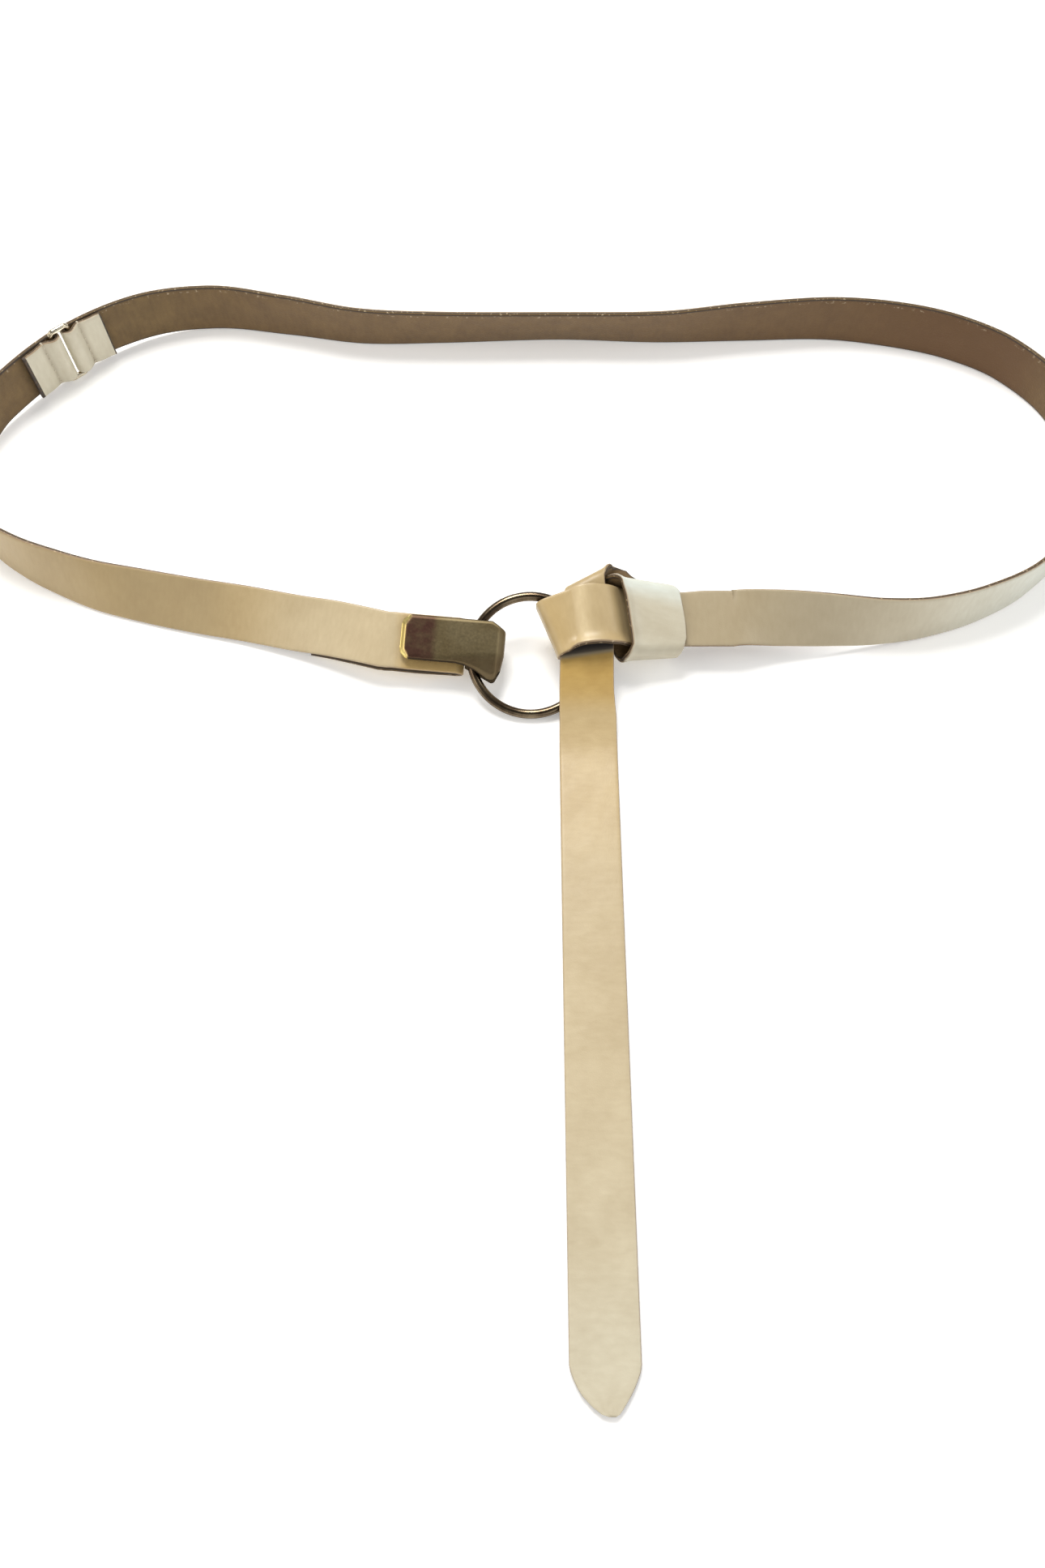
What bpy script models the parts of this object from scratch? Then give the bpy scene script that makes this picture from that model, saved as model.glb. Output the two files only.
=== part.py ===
# A narrow leather belt with a ring, a hook plate and a slip knot, lying closed on a surface.
# Blender 4.5, metres, +Z up, the front of the loop faces -Y.
import math

import bmesh
import bpy
from mathutils import Matrix, Vector

# Driving sizes of the leather
STRAP_WIDTH = 0.020
STRAP_THICKNESS = 0.0019
LAY_GAP = 0.0003
TURN_RADIUS = 0.0022
EDGE_FLARE = 0.0015
FLARE_REACH = 0.0045

# Driving sizes of the closed loop and the tail
LOOP_LENGTH = 0.430
LOOP_DEPTH = 0.160
LOOP_BACK = 0.116
TAIL_LENGTH = 0.2125
TIP_LENGTH = 0.0125

# Driving sizes of the knot's plane, which leans back from upright
KNOT_ACROSS = 0.0172
KNOT_BACK = 0.0467
KNOT_LIFT = 0.0129
KNOT_LEAN = math.radians(70)

# Driving sizes of the ring
RING_RADIUS = 0.021
WIRE = 0.0033
RING_ACROSS = -0.01865
RING_UP = -0.0132

# Driving sizes of the hook plate
PLATE_LENGTH = 0.0365
PLATE_WIDTH = 0.0158
PLATE_THICKNESS = 0.0020
PLATE_RISE = 0.0010
PLATE_CORNER = 0.0040
NOSE_CHAMFER = 0.0048
NOSE_DROP = 0.0054
NOSE_REACH = 0.0170
TONGUE_WIDTH = 0.0080
NOSE_ROUND = 0.0013
CLASP_BAR = 0.0020
CLASP_RISE = 0.0035
CLASP_ANGLE = math.radians(-5)

# Driving sizes of the adjusting link
LINK_WIRE = 0.0022
LINK_SPACING = 0.0074
LINK_CORNER = 0.0014
SIDE_GAP = 0.0004
LINK_FLAP = 0.0168
FLAP_BULGE = 0.0006
CLASP_FLAP = 0.0480
FLAP_DROP = 0.0007

# Facets, and the least span between two rows of a curve
LEAST_SPAN = 1e-6
KNOT_STEP = 0.0032
LOOP_STEP = 0.0095
TURN_FACETS = 3
ROLL_FACETS = 8
CORNER_FACETS = 4
BAR_FACETS = 12
RING_FACETS = 56
WIRE_FACETS = 12

# Heights of the knot's layers above the middle of the standing strap
LAYER = STRAP_THICKNESS + LAY_GAP
WIRE_LEVEL = -LAYER + STRAP_THICKNESS / 2 + LAY_GAP + WIRE / 2
TAIL_LEVEL = WIRE_LEVEL + WIRE / 2 + LAY_GAP + STRAP_THICKNESS / 2
LEVELS = {
    "run": 0.0,
    "behind": -LAYER,
    "back": -2 * LAYER,
    "tail": TAIL_LEVEL,
    "arch": TAIL_LEVEL + 1.4 * LAYER,
    "crown": TAIL_LEVEL + 2.0 * LAYER,
    "wrap": LAYER,
    "lifted": 2.4 * LAYER,
}

# The knot as rulings from the strap's upper edge to its lower edge, in strap widths across
# and up the knot's plane. Two turn rows in a row fold the strap over, from line to line. The
# flares say how far each edge curls outwards, as a share of the edge flare.
# name, upper edge across, up, lower edge across, up, upper level, lower level, two flares
KNOT_ROWS = (
    ("run", 2.65, 0.50, 2.65, -0.50, "run", "run", 0.0, 0.0),
    ("run", 2.15, 0.50, 2.15, -0.50, "run", "run", 0.0, 0.0),
    ("under the wrap", 1.72, 0.47, 1.77, -0.50, "run", "run", 0.0, 0.0),
    ("under the wrap", 1.15, 0.48, 1.17, -0.50, "run", "run", 0.0, 0.0),
    ("foot of arch", 0.71, 0.53, 0.91, -0.50, "run", "run", 0.0, 0.3),
    ("arch", 0.36, 0.53, 0.54, -0.53, "arch", "arch", 0.0, 1.2),
    ("arch", 0.09, 0.53, 0.23, -0.53, "crown", "crown", 0.0, 1.4),
    ("arch", -0.24, 0.45, -0.11, -0.58, "arch", "arch", 0.0, 1.4),
    ("turn", -0.85, 0.21, -0.44, -0.74, "arch", "arch", 0.0, 0.4),
    ("turn", -0.85, 0.21, -0.44, -0.74, "behind", "behind", 0.0, 0.0),
    ("behind", -0.10, 0.50, 0.38, -0.38, "behind", "behind", 0.0, 0.0),
    ("turn", 0.15, 0.66, 1.30, 0.60, "behind", "behind", 0.3, 0.0),
    ("turn", 0.65, 0.77, 1.70, 0.61, "lifted", "wrap", 0.9, 0.0),
    ("wrap", 0.72, 0.27, 1.77, 0.02, "lifted", "wrap", 1.3, 0.0),
    ("wrap", 0.80, -0.29, 1.80, -0.38, "lifted", "wrap", 1.3, 0.0),
    ("turn", 0.84, -0.68, 1.79, -0.62, "lifted", "wrap", 0.9, 0.0),
    ("turn", 0.58, -0.78, 1.60, -0.72, "back", "back", 0.3, 0.0),
    ("back", 0.32, -0.17, 1.15, 0.60, "back", "back", 0.0, 0.0),
    ("turn", -0.13, 0.64, 0.72, 1.06, "back", "back", 0.0, 0.6),
    ("turn", -0.43, 0.48, 0.30, 0.88, "tail", "tail", 0.0, 0.4),
    ("tail", -0.43, -0.23, 0.46, -0.06, "tail", "tail", 0.0, 0.0),
    ("tail", -0.42, -0.66, 0.52, -0.62, "tail", "tail", 0.0, 0.0),
    ("tail", -0.43, -1.29, 0.52, -1.29, "tail", "tail", 0.0, 0.0),
    ("tail", -0.43, -1.82, 0.56, -1.82, "tail", "tail", 0.0, 0.0),
)

# The tail on the surface: share of its length from the ring to the tip
TAIL_STARTS = (0.06, 0.12, 0.30, 0.48, 0.66, 0.84)

# The pointed tip: share of the tip's length, then left and right half widths of the strap
TIP_ROWS = (
    (0.00, 1.00, 1.00),
    (0.30, 0.88, 0.88),
    (0.60, 0.66, 0.68),
    (0.82, 0.38, 0.49),
    (0.95, 0.15, 0.36),
    (1.00, -0.05, 0.25),
)

# The loop's lower edge from the knot round to the clasp: shares of the loop's length and
# depth from its middle, lift in strap widths, and the lean towards the inside in degrees
LOOP_ROWS = (
    ("front right", 0.202, -0.478, 0.30, 52),
    ("front right", 0.245, -0.466, 0.16, 34),
    ("front right", 0.288, -0.452, 0.06, 19),
    ("front right", 0.330, -0.428, 0.01, 10),
    ("front right", 0.375, -0.385, 0.00, 5),
    ("right end", 0.421, -0.312, 0.00, 1),
    ("right end", 0.470, -0.175, 0.00, 0),
    ("right end", 0.494, 0.000, 0.00, 0),
    ("right end", 0.480, 0.215, 0.00, -1),
    ("back right", 0.443, 0.350, 0.00, -3),
    ("back right", 0.400, 0.420, 0.00, -6),
    ("back right", 0.353, 0.460, 0.00, -8),
    ("back right", 0.286, 0.490, 0.00, -4),
    ("back", 0.204, 0.487, 0.00, 3),
    ("back", 0.120, 0.482, 0.00, 14),
    ("back", 0.025, 0.492, 0.00, 19),
    ("back", -0.090, 0.480, 0.00, 14),
    ("back", -0.165, 0.478, 0.00, 8),
    ("back left", -0.236, 0.508, 0.00, 1),
    ("back left", -0.308, 0.528, 0.02, -4),
    ("back left", -0.372, 0.488, 0.08, -4),
    ("link", -0.437, 0.369, 0.13, -2),
    ("left end", -0.486, 0.210, 0.09, -1),
    ("left end", -0.501, 0.110, 0.03, 0),
    ("left end", -0.506, 0.000, 0.00, 0),
    ("left end", -0.495, -0.115, 0.00, 3),
    ("left end", -0.469, -0.205, 0.00, 7),
    ("front left", -0.443, -0.260, 0.00, 12),
    ("front left", -0.418, -0.300, 0.00, 18),
    ("front left", -0.375, -0.355, 0.00, 29),
    ("front left", -0.330, -0.392, 0.00, 40),
    ("front left", -0.288, -0.420, 0.01, 47),
    ("front left", -0.245, -0.445, 0.04, 52),
    ("front left", -0.203, -0.475, 0.11, 57),
    ("front left", -0.172, -0.498, 0.22, 63),
)

# Share across the strap and share of its half thickness at each corner of a section
SECTION = (
    (-1.0, 0.45),
    (-0.94, 1.0),
    (-0.72, 1.0),
    (-0.33, 1.0),
    (0.33, 1.0),
    (0.72, 1.0),
    (0.94, 1.0),
    (1.0, 0.45),
)

# Shares of the plate's length at the strap's stations under the plate and behind the bar
UNDER_PLATE_ROWS = (0.45, 0.30, 0.15, 0.0)
BEHIND_BAR_ROWS = (0.12, 0.24, 0.38)

# Shares of the plate's length where the loop's curve meets the clasp's line
CLASP_LINE_ROWS = (0.75, 0.60)

# The plate's lower outline: share of the nose's reach, share of the nose's drop
LIP_ROWS = ((0.20, 0.10), (0.43, 0.38), (0.60, 0.68), (0.80, 1.00), (1.00, 0.29))

# The fall of the nose's chamfer along its length, the tongue's share of the bar, and how far
# the outline's cutter reaches past the plate's face, in plate thicknesses
CHAMFER_SLOPE = 0.60
TONGUE_SHARE = 0.90
CUTTER_REACH = 5

# Shares of a link flap's length at its stations, and where it comes down on to the strap
LINK_FLAP_ROWS = (1.0, 0.85, 0.7, 0.55, 0.42, 0.33, 0.24, 0.16, 0.08)
FLAP_DOWN = 0.33


def clear_scene():
    for thing in list(bpy.data.objects):
        bpy.data.objects.remove(thing, do_unlink=True)


def material(name, colour, roughness, metallic):
    made = bpy.data.materials.new(name)
    made.use_nodes = True
    shader = made.node_tree.nodes["Principled BSDF"]
    shader.inputs["Base Color"].default_value = (*colour, 1.0)
    shader.inputs["Roughness"].default_value = roughness
    shader.inputs["Metallic"].default_value = metallic
    return made


def add_object(name, mesh, look, smooth):
    thing = bpy.data.objects.new(name, mesh)
    bpy.context.collection.objects.link(thing)
    mesh.materials.append(look)
    for face in mesh.polygons:
        face.use_smooth = smooth
    return thing


def knot_axes():
    across = Vector((1, 0, 0))
    up = Vector((0, math.sin(KNOT_LEAN), math.cos(KNOT_LEAN)))
    out = Vector((0, -math.cos(KNOT_LEAN), math.sin(KNOT_LEAN)))
    return across, up, out


def knot_point(across, up, level):
    # A place in the knot's plane, in metres
    axis_across, axis_up, axis_out = knot_axes()
    middle = Vector((KNOT_ACROSS, KNOT_BACK, KNOT_LIFT))
    return middle + axis_across * across + axis_up * up + axis_out * level


def curve_through(points, step):
    # A smooth curve through rows of numbers, spaced by the first three of each row. The
    # numbers from the fourth on are eased between rows, so that they never overshoot.
    places = [Vector(row[:3]) for row in points]
    knots = [0.0]
    for before, after in zip(places, places[1:]):
        knots.append(knots[-1] + max((after - before).length, LEAST_SPAN))
    slopes = []
    last = len(points) - 1
    for i in range(len(points)):
        low, high = max(i - 1, 0), min(i + 1, last)
        span = knots[high] - knots[low]
        slope = [(points[high][c] - points[low][c]) / span for c in range(len(points[0]))]
        if 0 < i < last:
            for c in range(3, len(points[0])):
                before = (points[i][c] - points[i - 1][c]) / (knots[i] - knots[i - 1])
                after = (points[i + 1][c] - points[i][c]) / (knots[i + 1] - knots[i])
                slope[c] = 0.0 if before * after <= 0 else 2 * before * after / (before + after)
        else:
            for c in range(3, len(points[0])):
                slope[c] = 0.0
        slopes.append(slope)
    rows = [list(points[0])]
    for i in range(last):
        width = knots[i + 1] - knots[i]
        parts = max(1, round(width / step))
        for k in range(1, parts + 1):
            t = k / parts
            start = 2 * t**3 - 3 * t**2 + 1
            lead = (t**3 - 2 * t**2 + t) * width
            end = 3 * t**2 - 2 * t**3
            trail = (t**3 - t**2) * width
            rows.append([
                start * points[i][c] + lead * slopes[i][c]
                + end * points[i + 1][c] + trail * slopes[i + 1][c]
                for c in range(len(points[0]))
            ])
    return rows


def ruling_run(rows, step):
    # Smooth rulings between two turns. Each row is the two edges in the plane, their levels
    # and their flares.
    table = []
    for ua, uu, wa, wu, *eased in rows:
        half = ((wa - ua) / 2, (wu - uu) / 2)
        table.append(((ua + wa) / 2, (uu + wu) / 2, 0.0, *half, *eased))
    run = []
    for ma, mu, _, ha, hu, *eased in curve_through(table, step):
        run.append((ma - ha, mu - hu, ma + ha, mu + hu, *eased))
    return run


def turn_rulings(entry, leave, inward):
    # The strap folded over: a rounded corner, a straight wall and a rounded corner, while the
    # fold slides from one line to the other
    reach = TURN_RADIUS + STRAP_THICKNESS / 2
    last = 2 * TURN_FACETS + 1
    rulings = []
    for k in range(last + 1):
        ua, uu, wa, wu, *_ = [a + (b - a) * k / last for a, b in zip(entry, leave)]
        flares = [a + (b - a) * k / last for a, b in zip(entry[6:], leave[6:])]
        first = k <= TURN_FACETS
        angle = math.pi / 2 * (k if first else k - 1) / TURN_FACETS
        shift = inward * (reach - TURN_RADIUS * math.sin(angle))
        levels = []
        for start, end in zip(entry[4:6], leave[4:6]):
            way = math.copysign(TURN_RADIUS, end - start)
            if first:
                levels.append(start + way * (1 - math.cos(angle)))
            else:
                levels.append(end - way * (1 + math.cos(angle)))
        edges = (ua + shift.x, uu + shift.y, wa + shift.x, wu + shift.y)
        rulings.append((*edges, *levels, *flares))
    return rulings


def inward_of(line, behind):
    # The way square to a fold's line, towards the strap that comes to it
    along = Vector((line[2] - line[0], line[3] - line[1])).normalized()
    inward = Vector((-along.y, along.x))
    before = Vector((behind[0] + behind[2], behind[1] + behind[3]))
    here = Vector((line[0] + line[2], line[1] + line[3]))
    return inward if inward.dot(before - here) > 0 else -inward


def knot_rulings():
    # The whole knot, from the standing strap to the tail beyond the ring
    rows = []
    for name, ua, uu, wa, wu, upper, lower, *flares in KNOT_ROWS:
        place = [share * STRAP_WIDTH for share in (ua, uu, wa, wu)]
        rows.append((name, *place, LEVELS[upper], LEVELS[lower], *flares))
    rulings = []
    run = []
    folded = False
    for i, (name, *ruling) in enumerate(rows):
        if folded:
            folded = False
        elif name == "turn":
            turned = turn_rulings(ruling, rows[i + 1][1:], inward_of(ruling, run[-1]))
            run.append(turned[0])
            rulings += ruling_run(run, KNOT_STEP) + turned[1:-1]
            run = [turned[-1]]
            folded = True
        else:
            run.append(ruling)
    return rulings + ruling_run(run, KNOT_STEP)


def knot_stations():
    return [
        (knot_point(ua, uu, ul), knot_point(wa, wu, wl), *flares)
        for ua, uu, wa, wu, ul, wl, *flares in knot_rulings()
    ]


def tail_stations(start):
    # From the ring down to the surface, flat along it, and narrowing to the pointed tip
    upper, lower, *_ = start
    middle_x = (upper.x + lower.x) / 2
    rest = STRAP_THICKNESS / 2
    half = STRAP_WIDTH / 2
    flat = TAIL_LENGTH - TIP_LENGTH
    stations = []
    for share in TAIL_STARTS:
        y = upper.y - share * flat
        stations.append((Vector((middle_x - half, y, rest)), Vector((middle_x + half, y, rest))))
    for share, left, right in TIP_ROWS:
        y = upper.y - flat - share * TIP_LENGTH
        left_point = Vector((middle_x - left * half, y, rest))
        right_point = Vector((middle_x + right * half, y, rest))
        stations.append((left_point, right_point))
    return stations


def loop_curve():
    # The standing strap's lower edge as x, y, lift and lean, from the knot to the clasp
    rows = []
    knot_run = knot_point(KNOT_ROWS[0][3] * STRAP_WIDTH, KNOT_ROWS[0][4] * STRAP_WIDTH, 0)
    rows.append((knot_run.x, knot_run.y, 0.0, knot_run.z, KNOT_LEAN))
    for _, across, back, lift, lean in LOOP_ROWS:
        x = across * LOOP_LENGTH
        y = LOOP_BACK + back * LOOP_DEPTH
        rows.append((x, y, 0.0, lift * STRAP_WIDTH, math.radians(lean)))
    for share in CLASP_LINE_ROWS:
        end = clasp_point(-share * PLATE_LENGTH, -STRAP_WIDTH / 2, 0)
        rows.append((end.x, end.y, 0.0, end.z, KNOT_LEAN))
    return curve_through(rows, LOOP_STEP)


def loop_stations():
    # Upper edge, lower edge and the direction towards the inside of the loop
    curve = loop_curve()
    stations = []
    for i, (x, y, _, lift, lean) in enumerate(curve):
        before, after = curve[max(i - 1, 0)], curve[min(i + 1, len(curve) - 1)]
        tangent = Vector((after[0] - before[0], after[1] - before[1], 0)).normalized()
        inside = Vector((-tangent.y, tangent.x, 0))
        edge = STRAP_THICKNESS / 2 * SECTION[0][1] * abs(math.sin(lean))
        lower = Vector((x, y, lift + edge))
        upper = lower + STRAP_WIDTH * (inside * math.sin(lean) + Vector((0, 0, math.cos(lean))))
        stations.append((upper, lower, inside))
    return stations


def link_frame(stations):
    # The link stands where its row of the loop is. Returns the two lists of stations beside
    # it, its middle on the strap, and its axes: along the loop, up the strap and inwards.
    row = [r for r in LOOP_ROWS if r[0] == "link"][0]
    place = Vector((row[1] * LOOP_LENGTH, LOOP_BACK + row[2] * LOOP_DEPTH, row[3] * STRAP_WIDTH))
    nearest = min(range(len(stations)), key=lambda i: (stations[i][1] - place).length)
    upper, lower, _ = stations[nearest]
    up = (upper - lower).normalized()
    along = (stations[nearest + 1][1] - stations[nearest - 1][1]).normalized()
    inwards = up.cross(along).normalized()
    along = inwards.cross(up).normalized()
    middle = (upper + lower) / 2
    room = LINK_SPACING / 2 + LOOP_STEP / 2
    long_side = [s for s in stations[:nearest] if (s[1] - lower).length > room]
    short_side = [s for s in stations[nearest:] if (s[1] - lower).length > room]
    return long_side, short_side, middle, along, up, inwards


def walk(points, distance):
    # The place at a distance along a row of points
    left = distance
    for a, b in zip(points, points[1:]):
        length = (b - a).length
        if left <= length:
            return a.lerp(b, left / length)
        left -= length
    return points[-1]


def eased(share):
    # From 0 to 1, slowly at both ends
    held = min(max(share, 0.0), 1.0)
    return held * held * (3 - 2 * held)


def flap_height(share, roll):
    # A link flap's height above its strap: down from the roll to the stitches, then a bulge
    past = min(max((share - FLAP_DOWN) / (1 - FLAP_DOWN), 0.0), 1.0)
    bulge = FLAP_BULGE * math.sin(math.pi * past)
    return LAYER + (roll - LAYER) * eased(1 - share / FLAP_DOWN) + bulge


def roll_stations(middle, along, up, inwards, side, strap):
    # A strap end turned back round one bar of the link, from the cut end of its flap to the
    # outer layer. side is -1 for the bar next to the long strap, 1 for the other.
    half = up * STRAP_WIDTH / 2
    radius = LINK_WIRE / 2 + LAY_GAP + STRAP_THICKNESS / 2
    foot = middle + along * side * LINK_SPACING / 2
    bar = foot + inwards * radius
    ordered = [foot] + [(u + w) / 2 for u, w, _ in strap]
    ups = [up] + [(u - w).normalized() for u, w, _ in strap]
    lengths = [0.0]
    for a, b in zip(ordered, ordered[1:]):
        lengths.append(lengths[-1] + (b - a).length)
    flap = []
    for share in LINK_FLAP_ROWS:
        distance = share * LINK_FLAP
        place = walk(ordered, distance)
        ahead = walk(ordered, distance + LOOP_STEP / 4)
        index = max(i for i, length in enumerate(lengths) if length <= distance)
        lean_up = (ups[index] + ups[min(index + 1, len(ups) - 1)]).normalized()
        inside = lean_up.cross(ahead - place).normalized()
        if inside.dot(inwards) < 0:
            inside = -inside
        centre = place + inside * flap_height(share, 2 * radius)
        flap.append((centre + lean_up * STRAP_WIDTH / 2, centre - lean_up * STRAP_WIDTH / 2))
    roll = []
    for k in range(ROLL_FACETS + 1):
        angle = math.pi * k / ROLL_FACETS
        centre = bar + inwards * radius * math.cos(angle) - along * side * radius * math.sin(angle)
        roll.append((centre + half, centre - half))
    return flap + roll


def clasp_axes():
    # Along the clasp towards the knot, up across it, and out of its face
    across, up, out = knot_axes()
    along = across * math.cos(CLASP_ANGLE) + up * math.sin(CLASP_ANGLE)
    return along, out.cross(along), out


def clasp_place():
    # The clasp's bar in the knot's plane, just left of the ring, as across and up
    wire_side = RING_ACROSS - RING_RADIUS - WIRE / 2
    fold = CLASP_BAR / 2 + LAY_GAP + STRAP_THICKNESS
    return wire_side - LAY_GAP - fold, RING_UP + CLASP_RISE


def clasp_point(along, up, level):
    axis_along, axis_up, axis_out = clasp_axes()
    across, rise = clasp_place()
    return knot_point(across, rise, level) + axis_along * along + axis_up * up


def clasp_levels():
    # Heights above the strap's middle of the hook's leg and of the plate
    leg = -(STRAP_THICKNESS / 2 + LAY_GAP + CLASP_BAR / 2)
    plate = WIRE_LEVEL + WIRE / 2 + LAY_GAP + PLATE_THICKNESS / 2
    return leg, plate


def clasp_stations():
    # The short strap under the plate, round the bar and back along its own inside
    leg, _ = clasp_levels()
    radius = -leg
    half = STRAP_WIDTH / 2
    stations = []
    for share in UNDER_PLATE_ROWS:
        along = -share * PLATE_LENGTH
        stations.append((clasp_point(along, half, 0), clasp_point(along, -half, 0)))
    for k in range(1, ROLL_FACETS + 1):
        angle = math.pi * k / ROLL_FACETS
        along = radius * math.sin(angle)
        level = leg + radius * math.cos(angle)
        stations.append((clasp_point(along, half, level), clasp_point(along, -half, level)))
    for share in BEHIND_BAR_ROWS:
        along = -share * PLATE_LENGTH
        done = eased(share / BEHIND_BAR_ROWS[-1])
        level = 2 * leg + (-LAYER - 2 * leg) * done
        up = half - FLAP_DROP * done
        low = -half - FLAP_DROP * done
        stations.append((clasp_point(along, up, level), clasp_point(along, low, level)))
    return stations


def flap_beside(stations, length):
    # The turned back end, which follows the strap on its inside, one layer away
    flap = []
    travelled = 0.0
    i = len(stations) - 1
    while travelled < length:
        upper, lower, _ = stations[i]
        before = stations[i - 1][1]
        ahead = stations[min(i + 1, len(stations) - 1)][1]
        up = (upper - lower).normalized()
        shift = up.cross(ahead - before).normalized() * LAYER - up * FLAP_DROP
        flap.append((upper + shift, lower + shift))
        travelled += (lower - before).length
        i -= 1
    return flap


def strap_mesh(name, stations, outer):
    # A closed leather strip: one section at each ruling, square to the strip's own surface.
    # outer is 1 where the section's first side is the leather's outer face, else -1.
    bm = bmesh.new()
    rings = []
    for i, (upper, lower, *flares) in enumerate(stations):
        before, after = stations[max(i - 1, 0)], stations[min(i + 1, len(stations) - 1)]
        tangent = (after[0] + after[1]) - (before[0] + before[1])
        across = (lower - upper) / 2
        way = across.normalized()
        normal = across.cross(tangent).normalized()
        middle = (upper + lower) / 2
        top = []
        bottom = []
        for u, t in SECTION:
            flare = EDGE_FLARE * flares[u > 0] if flares else 0.0
            reached = max(0.0, 1 - (1 - abs(u)) * STRAP_WIDTH / 2 / FLARE_REACH)
            slope = math.copysign(2 * flare * reached / FLARE_REACH, u) * outer
            place = middle + across * u + normal * outer * flare * reached**2
            square = (normal - way * slope).normalized() * STRAP_THICKNESS / 2 * t
            top.append(bm.verts.new(place + square))
            bottom.append(bm.verts.new(place - square))
        rings.append(top + bottom[::-1])
    count = len(rings[0])
    for a, b in zip(rings, rings[1:]):
        for k in range(count):
            bm.faces.new((a[k], a[(k + 1) % count], b[(k + 1) % count], b[k]))
    bm.faces.new(rings[0][::-1])
    bm.faces.new(rings[-1])
    bmesh.ops.recalc_face_normals(bm, faces=bm.faces)
    return finished(name, bm)


def finished(name, bm):
    mesh = bpy.data.meshes.new(name)
    bm.to_mesh(mesh)
    bm.free()
    return mesh


def prism(name, outline, low, high, place):
    # An outline in the clasp's plane, thickened between two levels
    bm = bmesh.new()
    bottom = [bm.verts.new(place(x, y, low)) for x, y in outline]
    top = [bm.verts.new(place(x, y, high)) for x, y in outline]
    count = len(outline)
    for k in range(count):
        bm.faces.new((bottom[k], bottom[(k + 1) % count], top[(k + 1) % count], top[k]))
    bm.faces.new(bottom[::-1])
    bm.faces.new(top)
    bmesh.ops.recalc_face_normals(bm, faces=bm.faces)
    return finished(name, bm)


def combine(thing, mesh, operation):
    # A boolean with a helper solid, which is removed afterwards
    helper = bpy.data.objects.new("helper", mesh)
    bpy.context.collection.objects.link(helper)
    helper.hide_render = True
    helper.display_type = "WIRE"
    modifier = thing.modifiers.new(operation.lower(), "BOOLEAN")
    modifier.operation = operation
    modifier.solver = "EXACT"
    modifier.object = helper
    bpy.context.view_layer.objects.active = thing
    bpy.ops.object.modifier_apply(modifier=modifier.name)
    bpy.data.objects.remove(helper, do_unlink=True)


def arc(centre_x, centre_y, radius, start, end, facets):
    points = []
    for k in range(facets + 1):
        angle = math.radians(start + (end - start) * k / facets)
        points.append((centre_x + radius * math.cos(angle), centre_y + radius * math.sin(angle)))
    return points


def plate_outline():
    # The plate seen face on: round heel, chamfered nose, and a lip that drops below the strap
    left = NOSE_REACH - PLATE_LENGTH
    top = PLATE_RISE + PLATE_WIDTH / 2
    low = PLATE_RISE - PLATE_WIDTH / 2
    corner = PLATE_CORNER
    outline = arc(left + corner, low + corner, corner, 180, 270, CORNER_FACETS)
    outline += [(along * NOSE_REACH, low - drop * NOSE_DROP) for along, drop in LIP_ROWS]
    outline += [
        (NOSE_REACH, top - CHAMFER_SLOPE * NOSE_CHAMFER),
        (NOSE_REACH - NOSE_CHAMFER, top),
    ]
    outline += arc(left + corner, top - corner, corner, 90, 180, CORNER_FACETS)
    return outline


def hook_profile():
    # The plate from the side, along and out of its face: plate, squared nose and leg
    leg, plate = clasp_levels()
    half = PLATE_THICKNESS / 2
    heel = NOSE_REACH - PLATE_LENGTH
    leg_start = CLASP_BAR / 2 + LAY_GAP + STRAP_THICKNESS + LAY_GAP
    outer_end = NOSE_REACH - NOSE_ROUND - PLATE_THICKNESS
    outer_round = NOSE_ROUND + PLATE_THICKNESS
    outer = arc(outer_end, plate + half - outer_round, outer_round, 90, 0, CORNER_FACETS)
    outer += arc(outer_end, leg - half + outer_round, outer_round, 0, -90, CORNER_FACETS)
    inner = arc(outer_end, leg + half + NOSE_ROUND, NOSE_ROUND, -90, 0, CORNER_FACETS)
    inner += arc(outer_end, plate - half - NOSE_ROUND, NOSE_ROUND, 0, 90, CORNER_FACETS)
    leg_end = [(leg_start, leg - half), (leg_start, leg + half)]
    return [(heel, plate - half), (heel, plate + half)] + outer + leg_end + inner


def build_hook_plate(look):
    leg, _ = clasp_levels()
    reach = PLATE_WIDTH / 2 + NOSE_DROP + PLATE_RISE
    bent = prism("hook_plate", hook_profile(), -reach, reach, lambda x, n, v: clasp_point(x, v, n))
    plate = add_object("hook_plate", bent, look, False)
    room = CUTTER_REACH * PLATE_THICKNESS
    combine(plate, prism("outline", plate_outline(), -room, room, clasp_point), "INTERSECT")
    half = TONGUE_WIDTH / 2
    tongue_end = CLASP_BAR / 2 + STRAP_THICKNESS + 2 * LAY_GAP + PLATE_THICKNESS
    tongue = [(0, -half), (tongue_end, -half), (tongue_end, half), (0, half)]
    deep = TONGUE_SHARE * CLASP_BAR / 2
    combine(plate, prism("tongue", tongue, leg - deep, leg + deep, clasp_point), "UNION")
    bar = arc(0, leg, CLASP_BAR / 2, 0, 360 - 360 / BAR_FACETS, BAR_FACETS - 1)
    side = STRAP_WIDTH / 2
    combine(plate, prism("bar", bar, -side, side, lambda x, n, v: clasp_point(x, v, n)), "UNION")


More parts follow.
